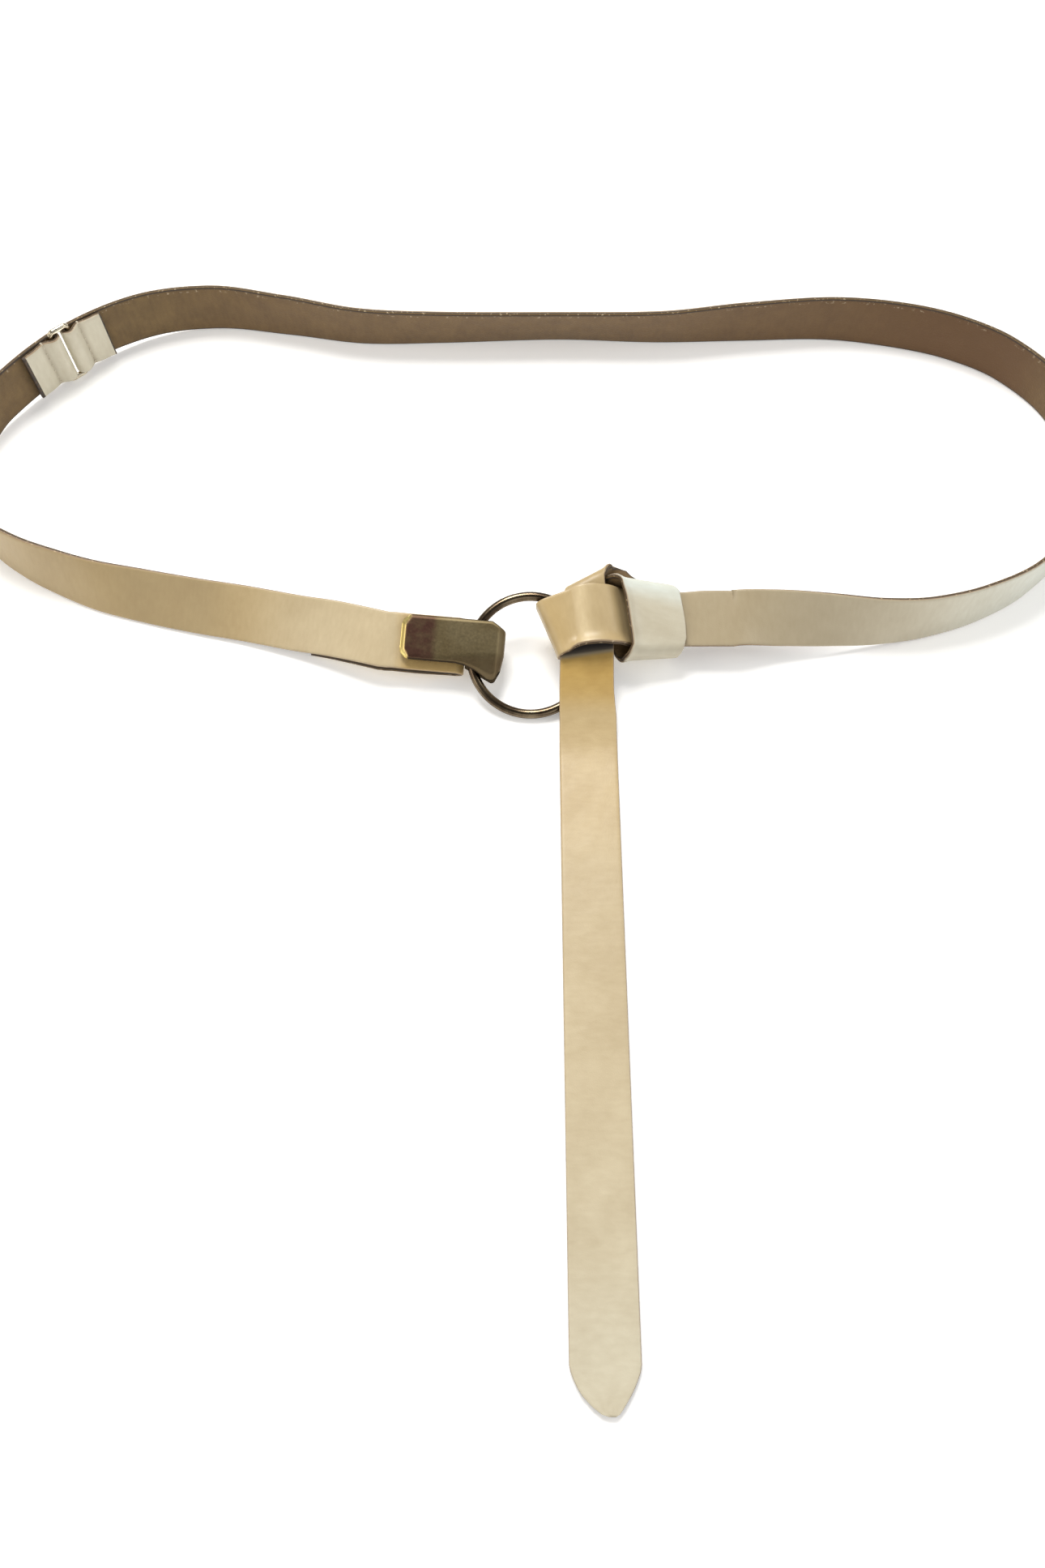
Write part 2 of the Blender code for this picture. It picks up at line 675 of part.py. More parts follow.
def wire_loop(name, centres, outwards, normal, wire, look):
    # A closed loop of round wire through the given centres
    bm = bmesh.new()
    rings = []
    for centre, outward in zip(centres, outwards):
        ring = []
        for j in range(WIRE_FACETS):
            angle = 2 * math.pi * j / WIRE_FACETS
            offset = outward * math.cos(angle) + normal * math.sin(angle)
            ring.append(bm.verts.new(centre + offset * wire / 2))
        rings.append(ring)
    for a, b in zip(rings, rings[1:] + rings[:1]):
        for j in range(WIRE_FACETS):
            k = (j + 1) % WIRE_FACETS
            bm.faces.new((a[j], b[j], b[k], a[k]))
    bmesh.ops.recalc_face_normals(bm, faces=bm.faces)
    add_object(name, finished(name, bm), look, True)


def build_ring(look):
    axis_across, axis_up, axis_out = knot_axes()
    middle = knot_point(RING_ACROSS, RING_UP, WIRE_LEVEL)
    outwards = []
    for k in range(RING_FACETS):
        turn = 2 * math.pi * k / RING_FACETS
        outwards.append(axis_across * math.cos(turn) + axis_up * math.sin(turn))
    centres = [middle + outward * RING_RADIUS for outward in outwards]
    wire_loop("ring", centres, outwards, axis_out, WIRE, look)


def build_link(look, middle, along, up, inwards):
    # A rectangle of wire: two upright bars in the rolls, joined above and below the strap
    radius = LINK_WIRE / 2 + LAY_GAP + STRAP_THICKNESS / 2
    centre = middle + inwards * radius
    corner = LINK_CORNER
    wide = LINK_SPACING / 2 - corner
    tall = STRAP_WIDTH / 2 + SIDE_GAP + LINK_WIRE / 2
    centres = []
    outwards = []
    for sx, sy, start in ((1, 1, 0), (-1, 1, 90), (-1, -1, 180), (1, -1, 270)):
        for k in range(TURN_FACETS + 1):
            turn = math.radians(start + 90 * k / TURN_FACETS)
            outward = along * math.cos(turn) + up * math.sin(turn)
            centres.append(centre + along * sx * wide + up * sy * (tall - corner) + outward * corner)
            outwards.append(outward)
    wire_loop("link", centres, outwards, inwards, LINK_WIRE, look)


def cut_tongue_slot(strap):
    # The slot in the short strap's fold, through which the hook's tongue passes
    leg, _ = clasp_levels()
    half = TONGUE_WIDTH / 2 + LAY_GAP
    reach = CLASP_BAR / 2 + LAY_GAP + STRAP_THICKNESS + LAY_GAP
    slot = [(0, -half), (reach, -half), (reach, half), (0, half)]
    tall = CLASP_BAR / 2 + LAY_GAP
    combine(strap, prism("slot", slot, leg - tall, leg + tall, clasp_point), "DIFFERENCE")


def rest_on_origin():
    # Move every piece so that the belt's box stands on the origin, at its bottom centre
    pieces = list(bpy.data.objects)
    corners = [vertex.co for piece in pieces for vertex in piece.data.vertices]
    low = Vector([min(c[i] for c in corners) for i in range(3)])
    high = Vector([max(c[i] for c in corners) for i in range(3)])
    shift = Vector((-(low.x + high.x) / 2, -(low.y + high.y) / 2, -low.z))
    for piece in pieces:
        piece.data.transform(Matrix.Translation(shift))


clear_scene()
LEATHER = material("cream_leather", (0.66, 0.57, 0.40), 0.45, 0.0)
STRAP_LEATHER = material("champagne_leather", (0.60, 0.50, 0.34), 0.45, 0.0)
RING_METAL = material("antique_brass_ring", (0.20, 0.15, 0.10), 0.25, 1.0)
PLATE_METAL = material("antique_brass_plate", (0.17, 0.13, 0.08), 0.25, 1.0)
LINK_METAL = material("polished_link", (0.75, 0.68, 0.52), 0.2, 1.0)

loop = loop_stations()
long_side, short_side, link_middle, link_along, link_up, link_in = link_frame(loop)
knot = knot_stations()

long_start = roll_stations(link_middle, link_along, link_up, link_in, -1, long_side[::-1])
long_loop = [(u, w) for u, w, _ in reversed(long_side[1:])]
long_path = long_start + long_loop + knot + tail_stations(knot[-1])
add_object("long_strap", strap_mesh("long_strap", long_path, -1), LEATHER, False)

short_start = roll_stations(link_middle, link_along, link_up, link_in, 1, short_side)
short_loop = [(u, w) for u, w, _ in short_side]
flap = flap_beside(loop, CLASP_FLAP - BEHIND_BAR_ROWS[-1] * PLATE_LENGTH)
short_path = short_start + short_loop + clasp_stations() + flap
short_mesh = strap_mesh("short_strap", short_path, 1)
short = add_object("short_strap", short_mesh, STRAP_LEATHER, False)
cut_tongue_slot(short)

build_link(LINK_METAL, link_middle, link_along, link_up, link_in)
build_ring(RING_METAL)
build_hook_plate(PLATE_METAL)
rest_on_origin()
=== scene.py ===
import math

import bmesh
import bpy
from mathutils import Matrix, Vector


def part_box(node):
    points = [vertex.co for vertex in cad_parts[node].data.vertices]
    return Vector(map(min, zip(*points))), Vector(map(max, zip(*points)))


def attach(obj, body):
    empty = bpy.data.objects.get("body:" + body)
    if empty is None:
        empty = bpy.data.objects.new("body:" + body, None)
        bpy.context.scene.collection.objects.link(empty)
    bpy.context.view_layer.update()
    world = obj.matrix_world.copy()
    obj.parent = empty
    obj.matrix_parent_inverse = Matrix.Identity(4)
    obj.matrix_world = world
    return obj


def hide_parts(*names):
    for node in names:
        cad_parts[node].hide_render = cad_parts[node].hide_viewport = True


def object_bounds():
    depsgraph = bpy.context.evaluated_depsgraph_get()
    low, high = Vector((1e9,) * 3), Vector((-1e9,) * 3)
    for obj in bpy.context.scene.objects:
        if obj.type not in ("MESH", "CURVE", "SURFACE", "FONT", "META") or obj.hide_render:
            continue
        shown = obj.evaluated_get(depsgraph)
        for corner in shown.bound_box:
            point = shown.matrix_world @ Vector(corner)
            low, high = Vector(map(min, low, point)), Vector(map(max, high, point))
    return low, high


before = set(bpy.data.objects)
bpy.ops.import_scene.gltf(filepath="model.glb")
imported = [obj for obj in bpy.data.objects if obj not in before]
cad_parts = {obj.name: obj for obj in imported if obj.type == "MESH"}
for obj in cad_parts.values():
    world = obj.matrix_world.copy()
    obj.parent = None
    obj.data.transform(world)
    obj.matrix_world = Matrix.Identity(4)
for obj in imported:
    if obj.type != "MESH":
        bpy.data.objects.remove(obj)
cad_low, cad_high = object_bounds()


# The camera
# It looks down on the belt from the front, as the photograph does: the ring is a little above
# the middle of the frame, and the loop's two ends run out of it at the sides.
CAMERA_FROM_RING = Vector((-0.00285, -0.21107, 0.34190))
CAMERA_DOWN = math.radians(64.8)
FOCUS_PIXELS = 1400
FRAME_PIXELS = 1935
SENSOR = 36.0
NEAREST = 0.01

ring_low, ring_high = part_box("ring")
ring_middle = (ring_low + ring_high) / 2
camera = bpy.data.objects.new("camera", bpy.data.cameras.new("camera"))
bpy.context.collection.objects.link(camera)
camera.location = ring_middle + CAMERA_FROM_RING
camera.rotation_euler = (math.pi / 2 - CAMERA_DOWN, 0, 0)
camera.data.sensor_fit = "VERTICAL"
camera.data.sensor_height = SENSOR
camera.data.lens = SENSOR * FOCUS_PIXELS / FRAME_PIXELS
camera.data.clip_start = NEAREST
bpy.context.scene.camera = camera


# The table and the light
# A plain white surface with a faint painted glow, which washes out the belt's shadows on it and
# lights the belt a little from below. It is lit by soft boxes on all sides and left dark overhead,
# so that the bronze reflects something dark above it.
TABLE_SIZE = 5.0
TABLE_DROP = 0.00005
TABLE_WHITE = (0.93, 0.93, 0.925, 1.0)
TABLE_ROUGHNESS = 0.9
TABLE_GLOW = 0.28
SKY_LOW = (1.0, 0.985, 0.96, 1.0)
SKY_HIGH = (0.30, 0.29, 0.28, 1.0)
SKY_TURN = (0.55, 0.85)
SKY_STRENGTH = 0.42
# name, place, size, watts, colour
SOFT_BOXES = (
    ("window", (-0.15, 0.60, 0.95), 0.45, 11.0, (1.0, 0.985, 0.96)),
    ("left box", (-0.85, -0.10, 0.65), 0.70, 3.0, (1.0, 0.95, 0.87)),
    ("right box", (0.85, 0.05, 0.70), 0.80, 3.0, (0.96, 0.98, 1.0)),
    ("front box", (0.10, -0.95, 0.55), 0.80, 1.5, (1.0, 0.98, 0.95)),
)


def socket(node, name, value):
    node.inputs[name].default_value = value


def new_look(name):
    # A material, its node tree and its shader
    look = bpy.data.materials.new(name)
    look.use_nodes = True
    return look, look.node_tree, look.node_tree.nodes["Principled BSDF"]


bpy.ops.mesh.primitive_plane_add(size=TABLE_SIZE, location=(0, 0, cad_low.z - TABLE_DROP))
table = bpy.context.object
table.name = "table"
table_look, _, table_shader = new_look("table")
socket(table_shader, "Base Color", TABLE_WHITE)
socket(table_shader, "Roughness", TABLE_ROUGHNESS)
# Its glow is painted light that washes out the shadows on it
socket(table_shader, "Emission Color", TABLE_WHITE)
socket(table_shader, "Emission Strength", TABLE_GLOW)
table.data.materials.append(table_look)

for name, place, size, watts, colour in SOFT_BOXES:
    lamp = bpy.data.objects.new(name, bpy.data.lights.new(name, "AREA"))
    bpy.context.collection.objects.link(lamp)
    lamp.data.size = size
    lamp.data.energy = watts
    lamp.data.color = colour
    lamp.location = place
    lamp.rotation_euler = (-Vector(place)).to_track_quat("-Z", "Y").to_euler()

sky = bpy.data.worlds.new("sky")
sky.use_nodes = True
bpy.context.scene.world = sky
sky_nodes = sky.node_tree.nodes
sky_links = sky.node_tree.links
sky_place = sky_nodes.new("ShaderNodeTexCoord")
sky_height = sky_nodes.new("ShaderNodeSeparateXYZ")
sky_ramp = sky_nodes.new("ShaderNodeValToRGB")
for stop, position, colour in zip(sky_ramp.color_ramp.elements, SKY_TURN, (SKY_LOW, SKY_HIGH)):
    stop.position = position
    stop.color = colour
sky_light = sky_nodes["Background"]
socket(sky_light, "Strength", SKY_STRENGTH)
sky_links.new(sky_place.outputs["Generated"], sky_height.inputs[0])
sky_links.new(sky_height.outputs["Z"], sky_ramp.inputs[0])
sky_links.new(sky_ramp.outputs[0], sky_light.inputs["Color"])
bpy.context.scene.view_settings.view_transform = "Standard"


# The long strap
# One length of smooth cream leather on a brown lining, 20 mm wide. It runs from the link along
# the back and the right end, ties the knot round itself and the ring, and ends in the tail.
STRAP_WIDTH = 0.020
STRAP_THICKNESS = 0.0019
LAY_GAP = 0.0003
TURN_RADIUS = 0.0022
EDGE_FLARE = 0.0015
FLARE_REACH = 0.0045
LOOP_LENGTH = 0.430
LOOP_DEPTH = 0.160
TAIL_LENGTH = 0.2125
TIP_LENGTH = 0.0125
KNOT_LEAN = math.radians(70)
KNOT_FROM_LOOP = Vector((0.0172, -0.0693, 0.0129))
RING_RADIUS = 0.021
WIRE = 0.0033
RING_ACROSS = -0.01865
RING_UP = -0.0132
KNOT_STEP = 0.0009
LOOP_STEP = 0.0022
TURN_FACETS = 8
ROLL_FACETS = 28

LAYER = STRAP_THICKNESS + LAY_GAP
WIRE_LEVEL = -LAYER + STRAP_THICKNESS / 2 + LAY_GAP + WIRE / 2
TAIL_LEVEL = WIRE_LEVEL + WIRE / 2 + LAY_GAP + STRAP_THICKNESS / 2
LEVELS = {
    "run": 0.0,
    "behind": -LAYER,
    "back": -2 * LAYER,
    "tail": TAIL_LEVEL,
    "arch": TAIL_LEVEL + 1.4 * LAYER,
    "crown": TAIL_LEVEL + 2.0 * LAYER,
    "wrap": LAYER,
    "lifted": 2.4 * LAYER,
}

# The knot as rulings from the strap's upper edge to its lower edge, in strap widths across and
# up the knot's plane. Two turn rows in a row fold the strap over, from one line to the next. The
# flares are each edge's outward curl. Tan is partly the leather's tone and partly painted sheen,
# and below 0 a painted highlight. Dull is grey dirt and painted shade, and above 1 it paints
# near-black shadow where a fold or the arch keeps the light off.
# name, upper edge across, up, lower edge across, up, two levels, two flares, tan, dull
KNOT_ROWS = (
    # Beside the wrap the standing strap is painted greyer, as the shade it lies in.
    ("run", 2.65, 0.50, 2.65, -0.50, "run", "run", 0.0, 0.0, 0.40, 0.50),
    ("run", 2.15, 0.50, 2.15, -0.50, "run", "run", 0.0, 0.0, 0.42, 0.50),
    ("under the wrap", 1.72, 0.47, 1.77, -0.50, "run", "run", 0.0, 0.0, 0.44, 0.40),
    ("under the wrap", 1.15, 0.48, 1.17, -0.50, "run", "run", 0.0, 0.0, 0.50, 0.30),
    # The arch is painted darker at its foot, where it dives under the wrap, as shade, and along its
    # crown paler and less grey, as a painted highlight.
    ("foot of arch", 0.71, 0.53, 0.91, -0.50, "run", "run", 0.0, 0.3, 0.72, 0.50),
    ("arch", 0.36, 0.53, 0.54, -0.53, "arch", "arch", 0.0, 1.2, 0.72, 0.16),
    ("arch", 0.09, 0.53, 0.23, -0.53, "crown", "crown", 0.0, 1.4, 0.62, 0.06),
    ("arch", -0.09, 0.50, 0.04, -0.55, "crown", "crown", 0.0, 1.4, 0.50, -0.45),
    ("arch", -0.24, 0.45, -0.11, -0.58, "arch", "arch", 0.0, 1.4, 0.66, 0.00),
    ("turn", -0.85, 0.21, -0.44, -0.74, "arch", "arch", 0.0, 0.4, 0.78, 0.05),
    ("turn", -0.85, 0.21, -0.44, -0.74, "behind", "behind", 0.0, 0.0, 0.60, 0.10),
    ("behind", -0.10, 0.50, 0.38, -0.38, "behind", "behind", 0.0, 0.0, 0.50, 0.10),
    # Over the wrap's top the turns are painted paler, tan below 0, as a highlight.
    ("turn", 0.15, 0.66, 1.30, 0.60, "behind", "behind", 0.3, 0.0, -0.20, 0.00),
    ("turn", 0.65, 0.77, 1.70, 0.61, "lifted", "wrap", 0.9, 0.0, -0.60, 0.00),
    ("wrap", 0.72, 0.27, 1.77, 0.02, "lifted", "wrap", 1.3, 0.0, -0.02, 0.14),
    ("wrap", 0.80, -0.29, 1.80, -0.38, "lifted", "wrap", 1.3, 0.0, 0.00, 0.22),
    ("turn", 0.84, -0.68, 1.79, -0.62, "lifted", "wrap", 0.9, 0.0, -0.05, 0.12),
    ("turn", 0.58, -0.78, 1.60, -0.72, "back", "back", 0.3, 0.0, 0.10, 0.10),
    ("back", 0.32, -0.17, 1.15, 0.60, "back", "back", 0.0, 0.0, 0.35, 0.10),
    # The turn over the ring is painted greyer, as shade.
    ("turn", -0.13, 0.64, 0.72, 1.06, "back", "back", 0.0, 0.6, 0.66, 0.20),
    ("turn", -0.43, 0.48, 0.30, 0.88, "tail", "tail", 0.0, 0.4, 0.74, 0.26),
    # Under the arch's lower edge the tail is painted near black, dull above 1, as the arch's shadow.
    ("tail", -0.43, -0.23, 0.46, -0.06, "tail", "tail", 0.0, 0.0, 0.95, 1.00),
    ("tail", -0.42, -0.60, 0.52, -0.49, "tail", "tail", 0.0, 0.0, 1.05, 1.80),
    ("tail", -0.42, -0.70, 0.52, -0.57, "tail", "tail", 0.0, 0.0, 1.05, 1.60),
    ("tail", -0.42, -0.81, 0.52, -0.67, "tail", "tail", 0.0, 0.0, 1.05, 0.10),
    ("tail", -0.43, -1.29, 0.52, -1.29, "tail", "tail", 0.0, 0.0, 0.95, 0.00),
    ("tail", -0.43, -1.82, 0.56, -1.82, "tail", "tail", 0.0, 0.0, 0.66, -0.05),
)

# The tail on the table: share of its length from the ring to the tip, tan, dull. Its tan is
# partly tone and partly painted sheen, most golden by the ring.
TAIL_ROWS = (
    (0.06, 0.66, -0.02), (0.12, 0.66, 0.02), (0.30, 0.52, 0.05), (0.48, 0.46, 0.00),
    (0.66, 0.37, -0.06), (0.84, 0.25, -0.10),
)

# The pointed tip: share of the tip's length, then left and right half widths of the strap
TIP_ROWS = (
    (0.00, 1.00, 1.00),
    (0.30, 0.88, 0.88),
    (0.60, 0.66, 0.68),
    (0.82, 0.38, 0.49),
    (0.95, 0.15, 0.36),
    (1.00, -0.05, 0.25),
)
TOUCH_DOWN = 0.0158
TIP_TAN = 0.10
TIP_DULL = -0.16

# The loop's lower edge from the knot round to the clasp: shares of the loop's length and depth
# from its middle, lift in strap widths, lean towards the inside in degrees, tan, dull. Tan is
# partly tone and partly painted sheen; dull is painted shade where the loop leaves the knot, and
# elsewhere greys the colour.
LOOP_ROWS = (
    ("front right", 0.202, -0.478, 0.30, 52, 0.34, 0.48),
    ("front right", 0.245, -0.466, 0.16, 34, 0.28, 0.40),
    ("front right", 0.288, -0.452, 0.06, 19, 0.16, 0.26),
    ("front right", 0.330, -0.428, 0.01, 10, 0.00, 0.12),
    ("front right", 0.375, -0.385, 0.00, 5, -0.25, 0.00),
    ("right end", 0.421, -0.312, 0.00, 1, -0.40, 0.00),
    ("right end", 0.470, -0.175, 0.00, 0, -0.40, 0.00),
    ("right end", 0.494, 0.000, 0.00, 0, -0.20, 0.10),
    ("right end", 0.480, 0.215, 0.00, -1, 0.00, 0.30),
    ("back right", 0.443, 0.350, 0.00, -3, 0.10, 0.90),
    ("back right", 0.400, 0.420, 0.00, -6, 0.10, 0.90),
    ("back right", 0.353, 0.460, 0.00, -8, 0.10, 0.80),
    ("back right", 0.286, 0.490, 0.00, -4, 0.10, 0.60),
    ("back", 0.204, 0.487, 0.00, 3, 0.10, 0.50),
    ("back", 0.120, 0.482, 0.00, 14, 0.10, 0.40),
    ("back", 0.025, 0.492, 0.00, 19, 0.10, 0.30),
    ("back", -0.090, 0.480, 0.00, 14, 0.10, 0.30),
    ("back", -0.165, 0.478, 0.00, 8, 0.10, 0.30),
    ("back left", -0.236, 0.508, 0.00, 1, 0.05, 0.30),
    ("back left", -0.308, 0.528, 0.02, -4, 0.00, 0.20),
    ("back left", -0.372, 0.488, 0.08, -4, -0.15, 0.00),
    ("link", -0.437, 0.369, 0.13, -2, -0.25, 0.00),
    ("left end", -0.486, 0.210, 0.09, -1, -0.15, 0.10),
    ("left end", -0.501, 0.110, 0.03, 0, 0.10, 0.20),
    ("left end", -0.506, 0.000, 0.00, 0, 0.35, 0.30),
    ("left end", -0.495, -0.115, 0.00, 3, 0.55, 0.28),
    ("left end", -0.469, -0.205, 0.00, 7, 0.70, 0.24),
    ("front left", -0.443, -0.260, 0.00, 12, 0.74, 0.32),
    ("front left", -0.418, -0.300, 0.00, 18, 0.76, 0.32),
    ("front left", -0.375, -0.355, 0.00, 29, 0.78, 0.28),
    ("front left", -0.330, -0.392, 0.00, 40, 0.78, 0.42),
    ("front left", -0.288, -0.420, 0.01, 47, 0.76, 0.42),
    ("front left", -0.245, -0.445, 0.04, 52, 0.66, 0.12),
    ("front left", -0.203, -0.475, 0.11, 57, 0.50, 0.04),
    ("front left", -0.172, -0.498, 0.22, 63, 0.46, 0.00),
)

# The line of the clasp, where the loop ends. The rows are shares of the plate's length.
PLATE_LENGTH = 0.0365
CLASP_BAR = 0.0020
CLASP_ANGLE = math.radians(-5)
CLASP_RISE = 0.0035
CLASP_LINE_ROWS = (0.75, 0.60)

# Half of a section: inset from the strap's edge and height, as shares of the half width and of
# the half thickness. Up to the edge's limit the faces are the cut edge.
SECTION = (
    (0.000, 0.30), (0.006, 0.58), (0.018, 0.80), (0.038, 0.94), (0.065, 1.00), (0.14, 1.00),
    (0.22, 1.00), (0.32, 1.00), (0.45, 1.00), (0.65, 1.00), (1.00, 1.00),
)
LEAST_SPAN = 1e-6
CUT_EDGE_ROWS = 2
OUTER, LINED, CUT, INKED = range(4)

axis_across = Vector((1, 0, 0))
axis_up = Vector((0, math.sin(KNOT_LEAN), math.cos(KNOT_LEAN)))
axis_out = axis_across.cross(axis_up)
knot_middle = ring_middle - axis_across * RING_ACROSS - axis_up * RING_UP - axis_out * WIRE_LEVEL
loop_middle = knot_middle - KNOT_FROM_LOOP
clasp_along = axis_across * math.cos(CLASP_ANGLE) + axis_up * math.sin(CLASP_ANGLE)
clasp_up = axis_out.cross(clasp_along)
clasp_across = RING_ACROSS - RING_RADIUS - WIRE / 2 - 2 * LAY_GAP - CLASP_BAR / 2 - STRAP_THICKNESS


def knot_point(across, up, level):
    return knot_middle + axis_across * across + axis_up * up + axis_out * level


def curve_through(points, step):
    # A smooth curve through rows of numbers, spaced by the first three of each row. The
    # numbers from the fourth on are eased between rows, so that they never overshoot.
    places = [Vector(row[:3]) for row in points]
    knots = [0.0]
    for before, after in zip(places, places[1:]):
        knots.append(knots[-1] + max((after - before).length, LEAST_SPAN))
    columns = range(len(points[0]))
    last = len(points) - 1
    slopes = []
    for i, row in enumerate(points):
        low, high = max(i - 1, 0), min(i + 1, last)
        slope = [(points[high][c] - points[low][c]) / (knots[high] - knots[low]) for c in columns]
        for c in columns[3:]:
            slope[c] = 0.0
            if 0 < i < last:
                before = (row[c] - points[i - 1][c]) / (knots[i] - knots[i - 1])
                after = (points[i + 1][c] - row[c]) / (knots[i + 1] - knots[i])
                if before * after > 0:
                    slope[c] = 2 * before * after / (before + after)
        slopes.append(slope)
    rows = [list(points[0])]
    for i in range(last):
        width = knots[i + 1] - knots[i]
        parts = max(1, round(width / step))
        for k in range(1, parts + 1):
            t = k / parts
            start = 2 * t**3 - 3 * t**2 + 1
            lead = (t**3 - 2 * t**2 + t) * width
            end = 3 * t**2 - 2 * t**3
            trail = (t**3 - t**2) * width
            rows.append([
                start * points[i][c] + lead * slopes[i][c]
                + end * points[i + 1][c] + trail * slopes[i + 1][c]
                for c in columns
            ])
    return rows


def ruling_run(rows, step):
    # Smooth rulings between two turns: the two edges in the plane, then all that is eased
    table = []
    for ua, uu, wa, wu, *eased in rows:
        half = ((wa - ua) / 2, (wu - uu) / 2)
        table.append(((ua + wa) / 2, (uu + wu) / 2, 0.0, *half, *eased))
    run = []
    for ma, mu, _, ha, hu, *eased in curve_through(table, step):
        run.append((ma - ha, mu - hu, ma + ha, mu + hu, *eased))
    return run


def turn_rulings(entry, leave, inward):
    # The strap folded over: a rounded corner, a straight wall and a rounded corner, while the
    # fold slides from one line to the other
    reach = TURN_RADIUS + STRAP_THICKNESS / 2
    last = 2 * TURN_FACETS + 1
    rulings = []
    for k in range(last + 1):
        ua, uu, wa, wu, _, _, *tone_and_painted_light = [a + (b - a) * k / last for a, b in zip(entry, leave)]
        first = k <= TURN_FACETS
        angle = math.pi / 2 * (k if first else k - 1) / TURN_FACETS
        shift = inward * (reach - TURN_RADIUS * math.sin(angle))
        levels = []
        for start, end in zip(entry[4:6], leave[4:6]):
            way = math.copysign(TURN_RADIUS, end - start)
            if first:
                levels.append(start + way * (1 - math.cos(angle)))
            else:
                levels.append(end - way * (1 + math.cos(angle)))
        edges = (ua + shift.x, uu + shift.y, wa + shift.x, wu + shift.y)
        rulings.append((*edges, *levels, *tone_and_painted_light))
    return rulings


def knot_stations():
    # The whole knot, from the standing strap to the tail beyond the ring
    rows = []
    for name, ua, uu, wa, wu, upper, lower, *tone_and_painted_light in KNOT_ROWS:
        place = [share * STRAP_WIDTH for share in (ua, uu, wa, wu)]
        rows.append((name, *place, LEVELS[upper], LEVELS[lower], *tone_and_painted_light))
    rulings = []
    run = []
    folded = False
    for i, (name, *ruling) in enumerate(rows):
        if folded:
            folded = False
        elif name == "turn":
            line = ruling[:4]
            along = Vector((line[2] - line[0], line[3] - line[1])).normalized()
            inward = Vector((-along.y, along.x))
            behind = Vector((run[-1][0] + run[-1][2], run[-1][1] + run[-1][3]))
            if inward.dot(behind - Vector((line[0] + line[2], line[1] + line[3]))) < 0:
                inward = -inward
            turned = turn_rulings(ruling, rows[i + 1][1:], inward)
            run.append(turned[0])
            rulings += ruling_run(run, KNOT_STEP) + turned[1:-1]
            run = [turned[-1]]
            folded = True
        else:
            run.append(ruling)
    rulings += ruling_run(run, KNOT_STEP)
    return [
        (knot_point(ua, uu, ul), knot_point(wa, wu, wl), tan_and_painted_sheen, dull, upper_flare, lower_flare)
        for ua, uu, wa, wu, ul, wl, upper_flare, lower_flare, tan_and_painted_sheen, dull in rulings
    ]


def tail_stations(start):
    # From the ring down to the table in a soft curve, flat along it, and narrowing to the tip
    upper, lower, *tone_and_painted_light = start[:4]
    middle_x = (upper.x + lower.x) / 2
    rest = cad_low.z + STRAP_THICKNESS / 2
    flat = TAIL_LENGTH - TIP_LENGTH
    half = STRAP_WIDTH / 2
    start_half = (lower.x - upper.x) / 2
    rows = [(*((upper + lower) / 2), start_half, start_half, *tone_and_painted_light)]
    for share, *tone_and_painted_light in TAIL_ROWS:
        rows.append((middle_x, upper.y - share * flat, rest, half, half, *tone_and_painted_light))
    for share, left, right in TIP_ROWS:
        y = upper.y - flat - share * TIP_LENGTH
        rows.append((middle_x, y, rest, left * half, right * half, TIP_TAN, TIP_DULL))
    stations = []
    for x, y, _, left, right, *tone_and_painted_light in curve_through(rows, LOOP_STEP)[1:]:
        falling = max(0.0, 1 - (upper.y - y) / TOUCH_DOWN)
        place = Vector((x, y, rest + (upper.z - rest) * falling**2))
        stations.append((place - axis_across * left, place + axis_across * right, *tone_and_painted_light))
    return stations


def clasp_point(along, up, level):
    # A place by the hook plate: along it from the clasp's bar, up across it and out of its face
    start = knot_point(clasp_across, RING_UP + CLASP_RISE, level)
    return start + clasp_along * along + clasp_up * up


def loop_stations():
    # Upper edge, lower edge, tan and dull, from the knot round the loop to the clasp
    _, _, _, across, up, *_, tan_and_painted_sheen, dull = KNOT_ROWS[0]
    start = knot_point(across * STRAP_WIDTH, up * STRAP_WIDTH, 0)
    rows = [(start.x, start.y, 0.0, start.z, KNOT_LEAN, tan_and_painted_sheen, dull)]
    for _, across, back, lift, lean, tan_and_painted_sheen, dull in LOOP_ROWS:
        x = loop_middle.x + across * LOOP_LENGTH
        y = loop_middle.y + back * LOOP_DEPTH
        z = loop_middle.z + lift * STRAP_WIDTH
        rows.append((x, y, 0.0, z, math.radians(lean), tan_and_painted_sheen, dull))
    for share in CLASP_LINE_ROWS:
        end = clasp_point(-share * PLATE_LENGTH, -STRAP_WIDTH / 2, 0)
        rows.append((end.x, end.y, 0.0, end.z, KNOT_LEAN, tan_and_painted_sheen, dull))
    curve = curve_through(rows, LOOP_STEP)
    stations = []
    for i, (x, y, _, lift, lean, tan_and_painted_sheen, dull) in enumerate(curve):
        before, after = curve[max(i - 1, 0)], curve[min(i + 1, len(curve) - 1)]
        tangent = Vector((after[0] - before[0], after[1] - before[1], 0)).normalized()
        inside = Vector((-tangent.y, tangent.x, 0))
        edge = STRAP_THICKNESS / 2 * SECTION[0][1] * abs(math.sin(lean))
        lower = Vector((x, y, lift + edge))
        upper = lower + STRAP_WIDTH * (inside * math.sin(lean) + Vector((0, 0, math.cos(lean))))
        stations.append((upper, lower, tan_and_painted_sheen, dull))
    return stations


